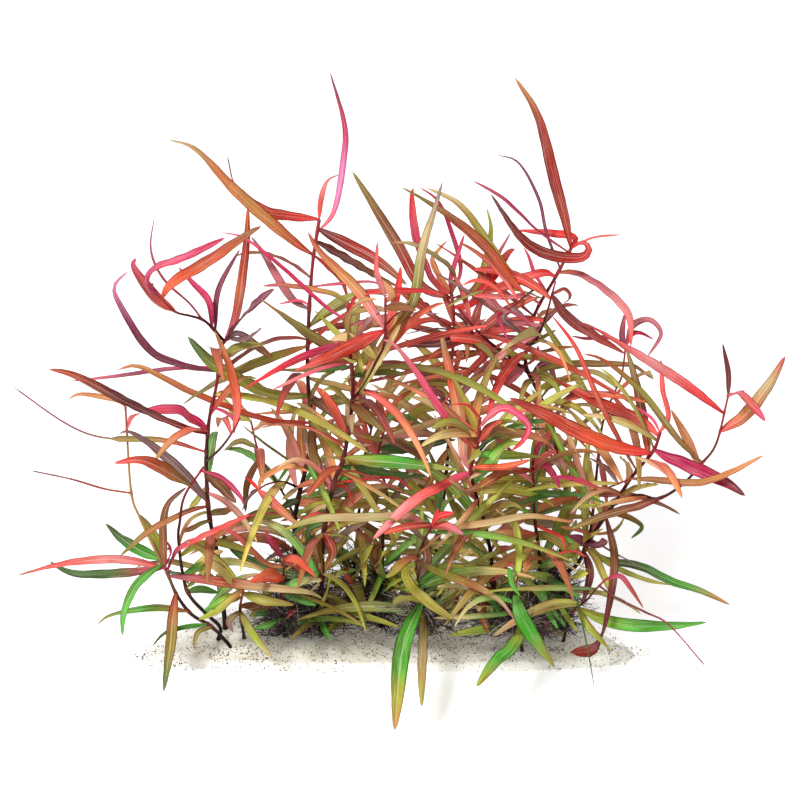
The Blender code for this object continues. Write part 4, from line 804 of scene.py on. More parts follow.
feed(leaf_shader, "Base Color", colour)
feed(leaf_shader, "Roughness", 0.40 + streak * 0.2 + mottle * 0.1)
# Painted light: each leaf glows faintly with its own colour, standing in for light shining through the
# blade.
feed(leaf_shader, "Emission Color", colour)
leaf_shader.inputs["Emission Strength"].default_value = LEAF_PAINTED_GLOW
leaf_shader.inputs["Specular IOR Level"].default_value = LEAF_GLOSS
feed_bump(leaf_shader, vein * 0.2 + streak * 0.5 + mottle * 0.3 + midrib * 0.5, VEIN_HEIGHT)


# Stems
# A stem is a thin dark red tube, nearly black at the sand and brighter to its top. It is swollen where
# a leaf stands on it, with a short sheath above, and its branches fork from such joints.
STEM_SIDES = 10
STEM_TAPER = 0.45
STEM_THIN = 0.9
STEM_FOOT = 0.0004
FOOT_SHARE = 0.012
JOINT_SWELL = 0.34
JOINT_REACH = 0.0016
SHEATH_SWELL = 0.16
SHEATH_LENGTH = 0.006
SHEATH_BAND = 0.6
STEM_RIDGES = 3
RIDGE_HEIGHT = 0.05
RIDGE_TURN = 0.15
STEM_LOW = np.array((0.012, 0.004, 0.005))
STEM_MIDDLE = np.array((0.06, 0.008, 0.010))
STEM_HIGH = np.array((0.34, 0.020, 0.035))
STEM_PALE = np.array((0.42, 0.26, 0.09))
DARK_STEM = [STEM_LOW, STEM_LOW * 1.6, STEM_MIDDLE, STEM_HIGH]
PALE_STEM = [STEM_LOW, STEM_LOW * 2, STEM_PALE, STEM_PALE, STEM_HIGH]
BRANCH = [STEM_MIDDLE, STEM_MIDDLE, STEM_HIGH]
STEM_RED = (0.20, 0.035, 0.03, 1)
STEM_BAND = (0.36, 0.07, 0.05, 1)
STEM_GRAIN = 0.00015
STEM_FINE_WAVES = 900
STEM_BROAD_WAVES = 110
STEM_GLOSS = 0.2
Stem = namedtuple("Stem", "foot depth bow thick route")


def read_stem(row):
    """A stem from its row: where its foot stands on the sand, as across,depth (or the word branch),
    the depth of its top, how far back it bows on the way, its thickness, and after a colon its route."""
    facts, route = row.split(":")
    foot, depth, bow, thick = facts.split()
    foot = None if foot == "branch" else read_route(foot)[0]
    return Stem(foot, float(depth), float(bow), float(thick), read_route(route))


def add_stem(skin, line, radius, foot, joints, pale):
    """Adds a stem: a tube that thins to its top, with a swollen joint and a sheath at each leaf."""
    lengths = np.cumsum([0] + [(b - a).length for a, b in zip(line, line[1:])])
    shares = lengths / lengths[-1]
    swelling = np.zeros(len(line))
    band = np.zeros(len(line))
    for joint in joints:
        past = lengths - joint
        swell = np.exp(-(past / JOINT_REACH) ** 2)
        sheath = np.where((past > 0) & (past < SHEATH_LENGTH), 1 - past / SHEATH_LENGTH, 0)
        swelling = np.maximum(swelling, np.maximum(JOINT_SWELL * swell, SHEATH_SWELL * sheath))
        band = np.maximum(band, np.maximum(swell, sheath * SHEATH_BAND))
    radii = radius * STEM_THIN * (1 - STEM_TAPER * shares) * (1 + swelling)
    if foot:
        radii += STEM_FOOT * np.exp(-shares / FOOT_SHARE)
    rings = []
    side = Vector((1, 0, 0))
    for at, point in enumerate(line):
        along = (line[min(at + 1, len(line) - 1)] - line[max(at - 1, 0)]).normalized()
        side = (side - along * side.dot(along)).normalized()
        other = along.cross(side)
        for turn in range(STEM_SIDES):
            angle = turn * math.tau / STEM_SIDES
            ridge = 1 + RIDGE_HEIGHT * math.sin(angle * STEM_RIDGES + at * RIDGE_TURN)
            rings.append(point + (side * math.cos(angle) + other * math.sin(angle)) * radii[at] * ridge)
    if foot:
        for corner in rings[:STEM_SIDES]:
            corner.z = SAND_TOP - GAP
    stops = BRANCH
    if foot:
        stops = PALE_STEM if pale else DARK_STEM
    places = np.linspace(0, 1, len(stops))
    tones = np.stack([np.interp(shares, places, part) for part in np.transpose(stops)], axis=1)
    skin.add(
        [tuple(corner) for corner in rings], loft_faces(len(line), STEM_SIDES),
        tone=np.repeat(tones, STEM_SIDES, axis=0), band=np.repeat(band, STEM_SIDES),
    )


stem_material, stem_shader, stem_wire = new_material("stem")
stem_fine = stem_wire.noise(STEM_FINE_WAVES, 3)
stem_colour = stem_wire.attribute("tone", "Color").under(
    ((stem_wire.noise(STEM_BROAD_WAVES) - 0.5) * 0.8, STEM_RED),
    (stem_wire.attribute("band") * 0.4, STEM_BAND),
)
feed(stem_shader, "Base Color", stem_colour)
feed(stem_shader, "Roughness", 0.32 + stem_fine * 0.3)
feed_bump(stem_shader, stem_fine, STEM_GRAIN)
stem_shader.inputs["Specular IOR Level"].default_value = STEM_GLOSS


# How a shoot is put together
# A shoot stands in the sand with its stem, its branches and its leaves. The large leaves are pieces of
# their own, and stand for the solids of their names. The rest stands for the shoot's solid.
ROUND_WIDTH = 0.0058
ROUND_COLOURS = ("olive", "brick brown", "green fern", "coral tan", "maroon brick")
slot_of = {entry["node"]: entry["material_slot"] for entry in frame["record"]["subparts"]}
stem_lines = {}
leaf_lines = []


def grow(name, stems, leaves, hidden=0, turn=0, pale=False):
    """Makes a shoot: its stems, its small leaves, and each large leaf as a piece of its own. Its hidden
    side gets so many leaves more, set round the stem from a turn on."""
    stems = [read_stem(row) for row in stems.strip().splitlines()]
    leaves = [read_leaf(row) for row in leaves.strip().splitlines()]
    node = "shoot_" + name
    luck = np.random.default_rng([ord(letter) for letter in name])
    surfaces = {node: surface_of(node)}
    shares = [at / LEAF_RINGS for at in range(LEAF_RINGS + 1)]
    lines = []
    joints = []
    for stem in stems:
        parent = None
        if not stem.foot:
            parent = min(lines, key=lambda line: distance_on_view(line, stem.route[0]))
        lines.append(stem_line(stem, parent))
        joints.append([])
    stem_lines[name] = lines
    small = Skin()
    for number, leaf in enumerate(leaves, 1):
        own = f"leaf_{name}_{number}"
        target = own if own in frame["nodes"] else node
        if target not in surfaces:
            surfaces[target] = surface_of(target)
        at = min(range(len(lines)), key=lambda index: distance_on_view(lines[index], leaf.route[0]))
        base = nearest(lines[at], leaf.route[0])
        joints[at].append(length_of(lines[at][:lines[at].index(base) + 1]))
        way = nearest_way(
            surfaces[target], steps_aside(WAY_STEP, WAY_STEPS),
            lambda way: leaf_line(leaf, base, way, FIT_SHARES),
        )
        line = leaf_line(leaf, base, way, shares)
        leaf_lines.append((line, leaf.width * MM))
        if target == own:
            large = Skin()
            add_leaf(large, leaf, line, shares, luck)
            large.make(f"blade_{name}_{number}", leaf_material, slot_of[own], own)
        else:
            add_leaf(small, leaf, line, shares, luck)
    for number in range(hidden):
        heading = number * ROUND_TURN + turn
        swing = nearest_way(
            surfaces[node], steps_aside(ROUND_SWING, ROUND_SWINGS),
            lambda swing: round_line(lines[0], number, hidden, heading + swing, FIT_SHARES),
        )
        line = round_line(lines[0], number, hidden, heading + swing, shares)
        widths = [max(PETIOLE_WIDTH * (1 - share), ROUND_WIDTH * blade_share(share)) for share in shares]
        tones = tones_along(ROUND_COLOURS[number % len(ROUND_COLOURS)], shares, luck, INNER_SPREAD, True)
        add_blade(small, line, shares, widths, [Vector((0, 0, 1))] * len(line), tones, luck)
    small.make("leaves_" + name, leaf_material, "stem", node)
    stalks = Skin()
    for stem, line, places in zip(stems, lines, joints):
        add_stem(stalks, line, stem.thick * MM / 2, bool(stem.foot), places, pale)
    stalks.make("stem_" + name, stem_material, "stem", node)


# Shoot a
# The tall shoot left of the middle. Its leaves fan out at the top, scarlet, maroon and tan, and a short
# branch stands out at its left.
grow("a", hidden=7, turn=1, stems="""
    -56,4 41 0 3.2: -58,40 -57,70 -49,107 -51,150 -48.5,200 -44.5,229
    branch -7 0 1.8: -54.5,80 -60,83.5 -66,85 -73,83.5 -78,80.5
""", leaves="""
    3.5 -18 coral lilac magenta plum: -45,222 -36,234 -31,262 -30.5,281 -38.7,310.7
    3 23 coral blush: -44.5,228 -43.5,240 -40,250 -33.5,254
    6 26 scarlet ember scarlet maroon thread 0.72: -45,228 -60,230.5 -76,234 -90,246 -95,264.5
    5.5 -29 ember tan tan straw: -48,209.5 -60,218 -90,244 -112,267 -128,273
    6 -39 maroon brick brown: -45.5,224 -30,216 -12,206 4,193
    6 34 maroon brown: -46.5,217 -28,206 -8,195 0,192
    2.5 18 scarlet: -48,208.5 -40,203 -32,195 -28,183
    5 -44 tan lime straw olive: -51,160.5 -68,154 -88,146 -108,135 -120,127
    1.5 -21 magenta: -49,191.5 -36,193.5 -14,194.5 -7.5,186
    4.5 39 mauve rose mauve: -51,179 -60,186 -74,208 -82,220
    1.5 10 pink: -51.5,181 -56,184.5 -67,182.5
    5 -34 brown: -50,132 -42,126 -30,117
    7 -52 lime lime fern: -51,131 -70,132 -90,141 -105,151 -117,165
    4.5 -26 scarlet peach tan tan: -50,116 -75,119 -113,133 -143,148 -156,146
    2.2 26 tan: -50,124 -60,123.5 -81,122
    5 -39 brown olive: -50,118 -47,98 -41,79
    1.8 18 olive: -51,93 -60,96 -72,104 -87,116
    3.5 -13 tan: -78,80.5 -75,87 -62,93.5 -50,90.5
    5 -31 coral tan: -78,80.5 -72,75 -60,64 -55,62
    2 13 scarlet: -78,80.5 -81,84 -85.5,88
    3 29 maroon: -78,80.5 -83,76 -87,69
    4 -18 fern: -56.5,76 -60,73 -66,70
""")


# Shoot b
# The shoot beside it. A long branch rises at its right and forks once more, and the leaves run from
# red at the top to green at the sand.
grow("b", hidden=6, turn=2, stems="""
    -43,-4 -24 0 3.2: -43,38 -41.5,60 -36,85 -30.5,100 -26,133 -28,163 -28.5,183
    branch -58 0 2: -26,130 -20,137 -13,151 -8.5,162 -8,186
    branch -44 0 1.2: -8.5,170 -2,177 3,179
""", leaves="""
    2.5 29 magenta magenta pink: -28.5,173 -42,182 -64,202 -85,218.5 -99,222
    4 -34 scarlet: -28.5,178 -22,187.5 -5,189.5 14,189.5 26,187.5
    3 16 lime: -28,161 -36,168 -47,179
    4.5 -31 tan olive tan: -27.5,157 -40,160 -55,169 -77,185.5
    4 34 olive tan rose: -28.5,183 -38,188 -62,192.5 -76,192.5
    2.8 -10 blush coral: -8,185 -12,197 -13,203 -12.3,217
    4 10 tan: -8,183 -4,188 -12,197
    6.5 -44 scarlet ember coral: -8.5,169.5 -25,160 -45,150.5 -58,145.5
    2.5 -21 pink blush: -27,150 -45,146.5 -71,135
    3.5 -52 magenta scarlet: -27.5,161 -40,158.5 -60,150.5 -87,135
    4 31 fern olive: -26.5,147 -46,146.5 -68,146
    4 -23 fern olive: -26.5,144 -10,145 3,144
    4 -16 brown: -8,182 0,181 9,179
    6 26 blush tan rust: -8.5,169 -20,186 -28,195 -44,211 -51,222.5
    5.5 44 rust olive straw mauve: -8.5,163 0,172 8,186 12.5,213 19,234 23.5,250
    6 -39 brown olive: -27,127 -20,122 -14,117 -8,112
    3.5 23 tan olive: -28.5,113 -22,110 -9,107.5
    6 -57 lime green lime: -31,98 -18,96.5 0,95 20,92.5 33,91
    4 18 fern: -32.5,93 -15,91 -5,89 15,88
    4 -21 rust: -33,93.5 -40,90 -46,83 -52,76.5
    1.8 -39 brick: -33,92 -22,89.5 -5,82 9,75.5
    2 -10 scarlet: -36,84 -20,86 -2,86.5 7,79
    1.5 4 scarlet: -37,82 -30,82 -25,71
    2 -26 scarlet coral: -41.5,66 -47,67 -54,64
    6 13 fern: -43,32 -50,32.5 -66,34.5 -80,40 -91,47 -99,58
    4.5 -39 olive lime: -43,24 -34,19 -22,11.5 -10,8 0,4.5
    3 -29 lime: -43,14 -41,22 -37.5,33.5
    4 -39 olive: -43,7 -50,6.5 -60,-2
    3.5 -34 green: -43,8 -41.5,3.5 -38,-2
    6 -31 olive brown: -42,58 -46,50 -43,34
    5 -39 brick brown: -41.5,56 -37,46 -41,36
    4.5 18 fern: -41.5,62 -50,57 -46,40
""")


# Shoot c
# The left shoot, with a short branch to the right and above it a longer one to the left. Its longest
# leaf turns to a thread, far out at the left.
grow("c", hidden=5, turn=3, stems="""
    -96,2 -10 0 3: -98,24 -100,43 -105,67 -106.5,96 -105,119 -101,138 -99,157 -95,164
    branch -41 0 1.8: -106.5,95 -98,104 -91,114 -88,120
    branch -41 0 1.8: -97,161 -107,173 -115,176 -124,178.5 -133,187
""", leaves="""
    5 -13 pink rust brick rust: -95,162 -91.5,172 -88.5,185 -84.5,215 -83.5,237
    4.5 -39 plum: -95,164 -87,175 -75,186.5 -69,191
    6.5 21 peach rust brown: -131,185 -125,194 -105,206 -85,220 -76,225.5
    4.5 -34 magenta pink magenta: -133,187 -138.5,193 -135,201.5 -118,208 -96,219
    3.5 23 magenta: -104,170 -105,184 -114,194 -122,203
    5.5 31 ember brick magenta: -124,178.5 -132,184 -139,192 -146.5,203 -145.3,208
    4 -26 plum plum lilac: -100.5,146 -120,148.8 -138,157 -153,180 -157,192 -149,201
    1.4 -16 magenta plum: -108.5,174 -116,183 -130,196 -137,212 -135,231
    3 34 plum: -101,167 -100,190 -88,213
    5 -31 coral peach tan: -91.5,113 -89.5,127 -93.5,147 -102,168
    5 26 mauve brown: -97,161 -90,166 -80,160 -70,153
    2.5 -49 mauve: -95,164 -85,163 -76,169.5
    5 -44 brick maroon rust: -107,112 -125,116.5 -148,127 -178,143 -194,147
    7 -18 magenta: -106,114 -115,119 -124,124 -141,124
    2.2 31 magenta plum rose: -100.5,148 -125,147 -155,143 -182,140
    3.2 16 coral olive plum plum thread 0.45: -106.5,100 -130,107.5 -163,109 -184,117 -213,137.3
    5 -21 mauve: -105.5,74 -120,90 -138,105.5 -150,112.3 -155,110.3
    6 -34 brown: -106.5,89 -99,82 -90,73
    4.5 18 lime: -106,80 -108,77.5 -116,70
    4 -21 olive brown: -104.5,64 -110,61 -119,57
    4 26 olive tan: -105,67 -98,68 -90,71
    4 -47 rust tan olive: -105.5,71 -113.4,69.5 -129,62.5 -141,55.4 -154,44
    2 -16 magenta: -103.5,125.5 -96,123 -91,118 -91,111
    1 -10 maroon: -99,40 -95,42 -86,41
""")


# Shoot d
# A low shoot at the left that leans outwards on a thin stem, with four leaves from green to magenta.
grow("d", stems="""
    -99,-10 -31 0 2.4: -99,5 -107.8,13.4 -117.6,26 -121.8,52 -121,63 -118.5,77 -108,93
""", leaves="""
    4.5 -39 olive rust coral: -116.5,83 -127,89.5 -142,96.5 -157.5,95
    3.5 -36 magenta: -109,92 -98,86.5 -88,77 -86,72
    2.5 -21 lime: -117.5,25 -112,31 -104,40
    4 16 green: -117,25 -110,25.5 -100,24
""")


# Shoot e
# The farthest left shoot. It leans out on a thin stem, pale with a red top, and most of its leaves
# stand on the lower half.
grow("e", pale=True, stems="""
    -92,-18 10 -8 2.2: -103.5,5 -114.8,12 -123,23 -129,37 -136,50 -143,65 -148,80 -151,126
""", leaves="""
    4 -31 coral blush coral rust: -130,38 -153,42 -175,41 -192,38 -211,33
    5 21 magenta fern fern: -130,37 -142,35.5 -160,34 -180,34.5 -193,41
    4.5 -18 tan brown maroon: -129,39 -130,50 -130,62 -127,73 -117,82
    4.5 -47 magenta coral scarlet: -128.5,36 -122,47 -113,52 -100,58.5 -82,67
    5 -26 rose rust straw olive: -127,32 -113,31.5 -94,29 -72,26.5 -50,24 -42,20
    6 -57 rust olive fern: -123.5,23 -125,10 -126,-4 -128,-18 -130,-31
    3 -36 tan green olive: -117,14 -133,15.5 -150,13.5 -161,10.5 -167,5.6
    4.5 -60 green: -130,39 -140,33 -147,25 -152,12 -152.7,0
    6 31 green fern: -131,41 -143,47 -154,54 -162,62
    2.5 -31 green fern: -106,6 -121.8,4 -130,1 -136.5,-6
    3 -23 olive: -105,5.5 -111,2 -113.5,-6
    6 16 olive lime brown: -131,41 -134,51 -139,60 -144,67
    2.5 23 tan: -151,126 -157,130 -175,133 -183,130
    2.5 -13 coral: -150.5,114 -147,120 -143,122.5
    1 -18 rust plum thread 0.45: -148,79 -163,81 -180,86 -203,91
    4 34 fern: -128,36 -122,33 -116,29
    3 -21 magenta: -129.5,38 -126.5,46 -128,52
""")


# Shoot t
# A shoot behind the left ones, seen between their stems. Its leaves are lime, olive, brown and mauve.
grow("t", hidden=4, turn=4, stems="""
    -60,15 61 0 2: -59,30 -58,55 -60,70 -67,83 -77,99 -82,118
""", leaves="""
    4 -36 brown: -76.5,98 -84,84 -85,68
    6 -34 lime olive: -60,69 -72,67 -84,64 -96,57
    4 29 lime: -82,117 -90,122 -98,132
    3.5 -31 tan: -81,114 -72,118 -60,114
    3 34 olive: -79,104 -88,107 -97,102
    3 -13 mauve: -58,48 -66,46 -74,42
    3.5 16 mauve: -58,46 -52,52 -46,57
""")


# Shoot f
# A short shoot at the front left, with peach and coral leaves at its top and green ones at the sand.
grow("f", stems="""
    -63,-7 -37 0 2: -64,20 -64,43
""", leaves="""
    3.5 -18 magenta: -64,42 -68.5,48 -72,53 -74,58.5
    5 -29 peach: -64,32 -72,33 -83,29.5
    4 -13 tan coral: -64,38 -72,39 -79,44 -88,53.5 -97,59.5
    3.5 -34 peach: -64,42 -57,42 -51,37 -46,32
    2.5 16 coral: -64,40 -58,38 -53,34
    4 -13 fern green: -64,22 -56,20 -46,17
    4.5 -23 green: -63.5,10 -72,6 -80,4
    3.5 18 green: -63.5,14 -74,13 -83,11
    2 -16 scarlet: -63.5,9 -60,12.5 -57,14
""")


# Shoot h
# A short shoot at the left. Its leaves are mostly lime and olive, and some bend down to the sand.
grow("h", stems="""
    -85,-9 -41 0 2: -88,14 -86,26
""", leaves="""
    5 -21 lime green: -87,20 -95,20 -101,17 -108,14
    4.5 13 tan lime lime: -86,25 -94,19 -102,13 -111,9
    4 -44 olive lime straw: -87.5,13 -84,6 -78,-3 -70,-12
    4 -26 olive mauve: -88,13 -94,8 -92,2
    5 -16 lime olive: -86.5,23 -76,20 -66,18 -58,17
    4 18 brown: -87,17 -76,16 -67,15
    3 23 fern: -87,9 -84,6 -80,4
""")


# Shoot u
# A shoot in the middle, behind the low front one. Its leaves are brown, olive and green.
grow("u", hidden=4, turn=7, stems="""
    -11,4 27 0 2.4: -10,31 -9.5,54 -7,72 -8,83 -12,97 -9,113
""", leaves="""
    4 -18 coral brown: -9,111 -10,120 -13,135
    5 -39 brown: -9,110 0,105 16,96
    3.5 18 tan: -9,112 2,115 15,126
    3 -26 green: -9,113 -5,120 3,120.5 13,116
    6 26 fern: -10,104 0,103 10,104.5 31,108
    3.8 -29 olive: -7.5,80 -13.5,77 -13.5,66
    4 -26 brown: -9.5,50 -14,46 -12,34
    4 18 fern: -10,38 -5,41 1,46
    3.5 -34 green lime: -10,24 -5,28 1,31
    3.5 -26 olive: -10.5,22 -14,16 -19,10
""")


# Shoot n
# A shoot behind the middle. Its leaves are olive, lime, green and brick.
grow("n", hidden=5, turn=5, stems="""
    -28,12 61 0 2.4: -25,40 -22.5,68 -21.5,90 -17,108 -12.5,130
""", leaves="""
    4 26 olive: -12.5,130 -6,138 -2,150
    3.5 -23 olive: -20,99 -14,103 -8,101
    5 -44 lime: -26.5,26 -24,33 -20,42 -15,50
    4.5 -34 olive lime: -27.5,12 -34,8 -41,1
    4 -39 tan olive: -27.5,14 -33,18 -38,24
    4.5 -29 brick: -26.5,27 -23,24 -21,14
    5 16 green: -27,22 -18,26 -12,24
    4 -44 peach brick: -26.5,28 -30,34 -29,38
    5 -31 brown olive: -23,64 -14,57 -4,54 6,53
""")


# Shoot m
# The low front shoot in the middle. Its long green and olive leaves hang forward over the sand, and
# those at its top are coral, scarlet and straw.
grow("m", stems="""
    14,-18 -61 0 2: 13,10 12,19 9,38 12,50 18,61
""", leaves="""
    9 -92 green green green lime tan: 12,19 4.4,3.3 0.5,-13 -1.6,-35 -3,-52
    5.5 -72 olive straw lime: 12.6,15 12.6,-0.7 12,-17.6 12,-39
    6 -44 lime olive: 9.2,37 3,35 6,27 16,18 30,9
    4.5 -23 olive lime tan straw blush: 9.5,40 22,35 40,28 54,20 64,8
    6 -39 brown: 10.5,46 17,51 24,57
    4.5 -34 rust lime: 10,44 3,41 -3,36 -8,32
    7 -18 brown mauve: 12,49 14,42 10,31
    5 -16 brick peach: 18,61 6,60 -4,58 -9,56
    3.5 -10 scarlet: 18,61 22,65.5 30,68
    4.5 -18 coral rose: 18,60 26,60 35,56
    3 6 scarlet: 18,61 20,66 21,70
    3 16 green: 17,59 14,62 11,59
    5 6 blush straw straw lime: 17,59.5 5,65.5 -20,65 -45,64.5 -65,58
    3.5 18 olive: 12,50 21,51 30,55
    3.5 21 tan straw tan: 17,59 30,60 50,62.5 72,66 98,62
""")


# Shoot s
# The tall shoot right of the middle. Long scarlet, brick and olive leaves crown it, and a few olive,
# brick and green ones stand lower down.
grow("s", hidden=6, turn=6, stems="""
    18,10 51 0 3: 18,30 22,60 26,95 28,125 28.5,152 30,168 28.5,188
""", leaves="""
    6 -21 coral pink scarlet: 28.5,187 20,192.5 13,205 8,222 6.5,241 7.5,247
    2.5 13 magenta: 29,187 33.5,202 28,223 21,239 10.5,247
    4 26 rust olive lime: 29.5,184 42,192 47.5,208 50,224 47.5,236
    3.5 -31 olive straw: 28.5,188 30,198 23,206 8,215 -4.5,216.5
    3 10 tan: 28.5,188 18,205 22,213 26,217.5
    3 -34 pink: 28.5,188 28,196 31,207 35.5,221
    6 34 brick brick brown olive: 28.5,186 12,192 0,213 -16,239 -26.5,255.8
    7 -36 brick ember rust: 30,167 22,172 15,179 8,184 -1,191
    4.5 -47 maroon: 29.5,177 37,173 37,166 20,160.5 -2,160.5
    6.5 -31 scarlet scarlet ember: 29.5,181 40,183 49,195 59,210 63.5,213
    5 18 tan rose: 30,170 40,172 43,180 46,187
    3 23 rose: 29,185 40,190 50,203 61,222
    1 -10 mauve: 30,168 18,169 2,166
    5 -23 brick rose: 28,129 22,133 12,137
    4.5 -26 tan: 26.5,102 20,91 12,77
    4 23 fern: 27.5,112 38,118 47,127
    4 31 olive: 23.5,72 13,82 3,97
    4 -21 olive tan: 18.5,38 27,38 38,36
    3.5 -34 brick: 18,27 24,29 30,22 34,10
    4 21 green: 18,20 27,16 40,11
""")


# Shoot v
# A shoot at the right of the middle, with one branch. Its long leaves are coral, pink and straw.
grow("v", hidden=3, turn=8, stems="""
    51,-6 -44 0 2.8: 51.2,26 49.8,45.6 46.3,62.5 42,78 39,91 42.5,104 44,120
    branch -20 0 1.6: 41.5,100 46,104 52,113 57,121
""", leaves="""
    6.5 -39 pink coral blush blush: 39.5,90 30,86 20,80.5 10,75.5 -3,65 -15,53
    6.5 16 blush straw peach straw: 39,90 35,99 34.5,110 31,130 25,155 22.5,168
    4 -23 coral pink blush: 42,103 31,112.5 20,128 9,145 -3,160 -10,163
    1.6 -18 scarlet: 44,119 40,124 36,127 28,127.5
    4 -39 blush pink scarlet: 43.5,114 52,123 60,124.7 70.5,116 68,108 61,101.5
    1.8 13 magenta: 43.3,110 50,110.5 56,106 68,96
    3.5 -21 peach: 39,92 55,92.5 64,94.5 72,97
    2 23 olive fern: 43.5,112 52,113 66,113.5 80,114
    4 -29 rust coral: 50.5,36 56,38 62,39
    4 -21 coral rose: 50.7,32 57,35 63,34
    3.5 -13 rose: 50,43 55,47 61,49
    6 -26 brick brown: 51,27 45,23 45,12 49,1
    5 -23 lime: 50.5,35 46,37 38,31
    5 -34 green: 51,26 51.5,20 54,13
    4 23 olive: 47.5,58 38,64 30,74
""")


# Shoot w
# The next shoot to the right, without branches. Its short leaves are coral and magenta at the top
# and mostly green at the sand.
grow("w", hidden=3, turn=9, stems="""
    77,-10 -14 0 2.6: 77,31.6 76.5,45.6 74,66 73.5,80 73,96
""", leaves="""
    5.5 -36 rust brown: 73.5,91 58,90 50,86 44,82 34,79
    2.5 18 magenta: 73,96 76,104 83,114
    4 -16 coral: 73.5,93 80,98 86,102
    4 -29 green fern: 73.5,82 80,78.5 88,77
    4 13 green: 73.5,80 68,85 62,90
    4.5 -34 magenta: 73.3,90 80,93 85,87 88,81
    4 -23 fern lime: 74,66 90,70 109,72
    3.5 -18 lime green: 75.3,57 70,52 63,46
    4.5 -39 tan lime: 76.3,50 71,48 67,41
    6 -44 tan: 76.5,44 71.5,42 69,35
    3 -16 brown olive: 77,39 70,38 60,39 51,43
    2 -13 coral: 77,41 88,45 95,46.5 103,43.5
    2.5 -31 scarlet: 74.7,60 83,57 89,54 91,47
    4 -18 fern green: 77,34 86,29 93,25 99,21
    4.5 -36 green: 77,30 79,20 82,12 87,4
    4 -29 green lime: 77,26 85,20 92,10 98,2
    5 -21 brick maroon: 77,14 80.5,9 78,-1
""")


# Shoot g
# A short shoot at the front. Its two broad green leaves reach down over the edge of the sand.
grow("g", stems="""
    66,-22 -58 0 1.8: 65,12 63,24 65,33
""", leaves="""
    8 -58 green green lime: 63,24 67,10 76,-5 85,-17.5
    7 -66 lime green lime: 65.5,8 66,1 61,-7 52,-15 42,-28
    3 -26 green: 65,33 61,36 61.5,29 66,22
    5 18 fern: 64,28 58,24 54,16
    4 23 fern green: 65,14 74,16 80,17
""")


# Shoot r
# The tallest shoot, at the right, with four branches. Scarlet and brick leaves crown it, and tan, brown
# and olive ones stand lower down.
grow("r", hidden=6, turn=10, stems="""
    79,18 41 0 3: 83,34 91,54 92,66 91,81 86,104 82,121 71,144 69,152 71.5,169 76,181 84.5,195.5 94,213
    branch 7 0 2.2: 71,144 62,152 50,161 40,170.5 32.5,180
    branch -10 0 1.8: 70.3,160 75,163 79,172 81.5,180 85.5,195
    branch 0 0 1.4: 80,188 75,191 69,187 59,179
    branch -44 0 1.6: 91.7,72 100,75.5 108,79 127,86.5
""", leaves="""
    6 -13 ember brick brick tan: 93.5,212 91,228 85,250 76,285 63,307.5
    1.8 18 plum: 88,201 80.5,222 76.5,240 65.5,260 53,264.7
    2.5 -21 magenta: 93,211 75,223.5 57,240.5 40,250.5
    5 -44 scarlet brick maroon: 94,212 100,216.5 104,213 99,208 81,210 66,219.5 49.5,243.5
    4.2 23 scarlet: 94,213 96,219 82,221.5 64,223
    1.5 10 coral: 94,213 106,219 121.7,220.8
    2.5 13 pink: 80,189 74,199 71,208 68,214
    6.5 -29 scarlet coral brick: 86,197 77,199 60,193 45,189
    5 -44 pink blush coral: 76,182 70,186.5 60,186 40,187
    5.5 -34 rust rose blush coral: 88,200 98,198.8 115,188 126,175.5 127,159
    6 -39 maroon brick: 83.5,187 92,175 108,164 124,155
    2.5 18 brick: 84,188 90,190.5 93.5,186.5 90,183
    4 31 olive brown: 71,145 90,149 110,149.5 128,148.5 139,141
    2.5 -23 brown: 69.5,155 88,158.3 96,159
    2.5 21 olive: 70,158 75,162 86,168.5
    4 -23 tan: 73,173 79,177 84.5,179.5
    2 -18 magenta: 59,179 54,176 57,168 60,162
    2.5 21 mauve: 59.5,179 57,174 63,169 70,163
    2 -26 magenta: 60,179.5 65,176 72,172.5
    5 -31 rose: 59,179 52,181 46,186
    5 -13 peach rust olive: 69,187 60,197 47,214 25,232 0.5,247
    4.5 29 rust olive straw: 74,190.5 60,200 48,217 33,237 14.5,246.7
    3 -18 scarlet: 54,158 58,162 63,160
    6 -29 rose: 68,147 64,145 59,138
    3 -13 coral: 70,150 75,153 76,160
    4 18 plum: 72,142 80,150 86,141
    3 -18 brick: 83,117 90,127 98.5,139.5
    3.5 21 tan: 84.5,111 90,106 100,98
    3 -26 peach tan: 86.5,102 90,98 98,91
    3.5 -31 olive: 91.8,70 78,71 60,76 50,77.5
    2.5 16 mauve brown: 120,84.5 114,92 104,98
    4 -26 brown tan: 127,86.5 140,85.8 163,84 180,89 200.5,99.6
    4 23 fern: 83,35 88,27 95,23
    3 18 green: 91.3,56 95,59 97,64
""")


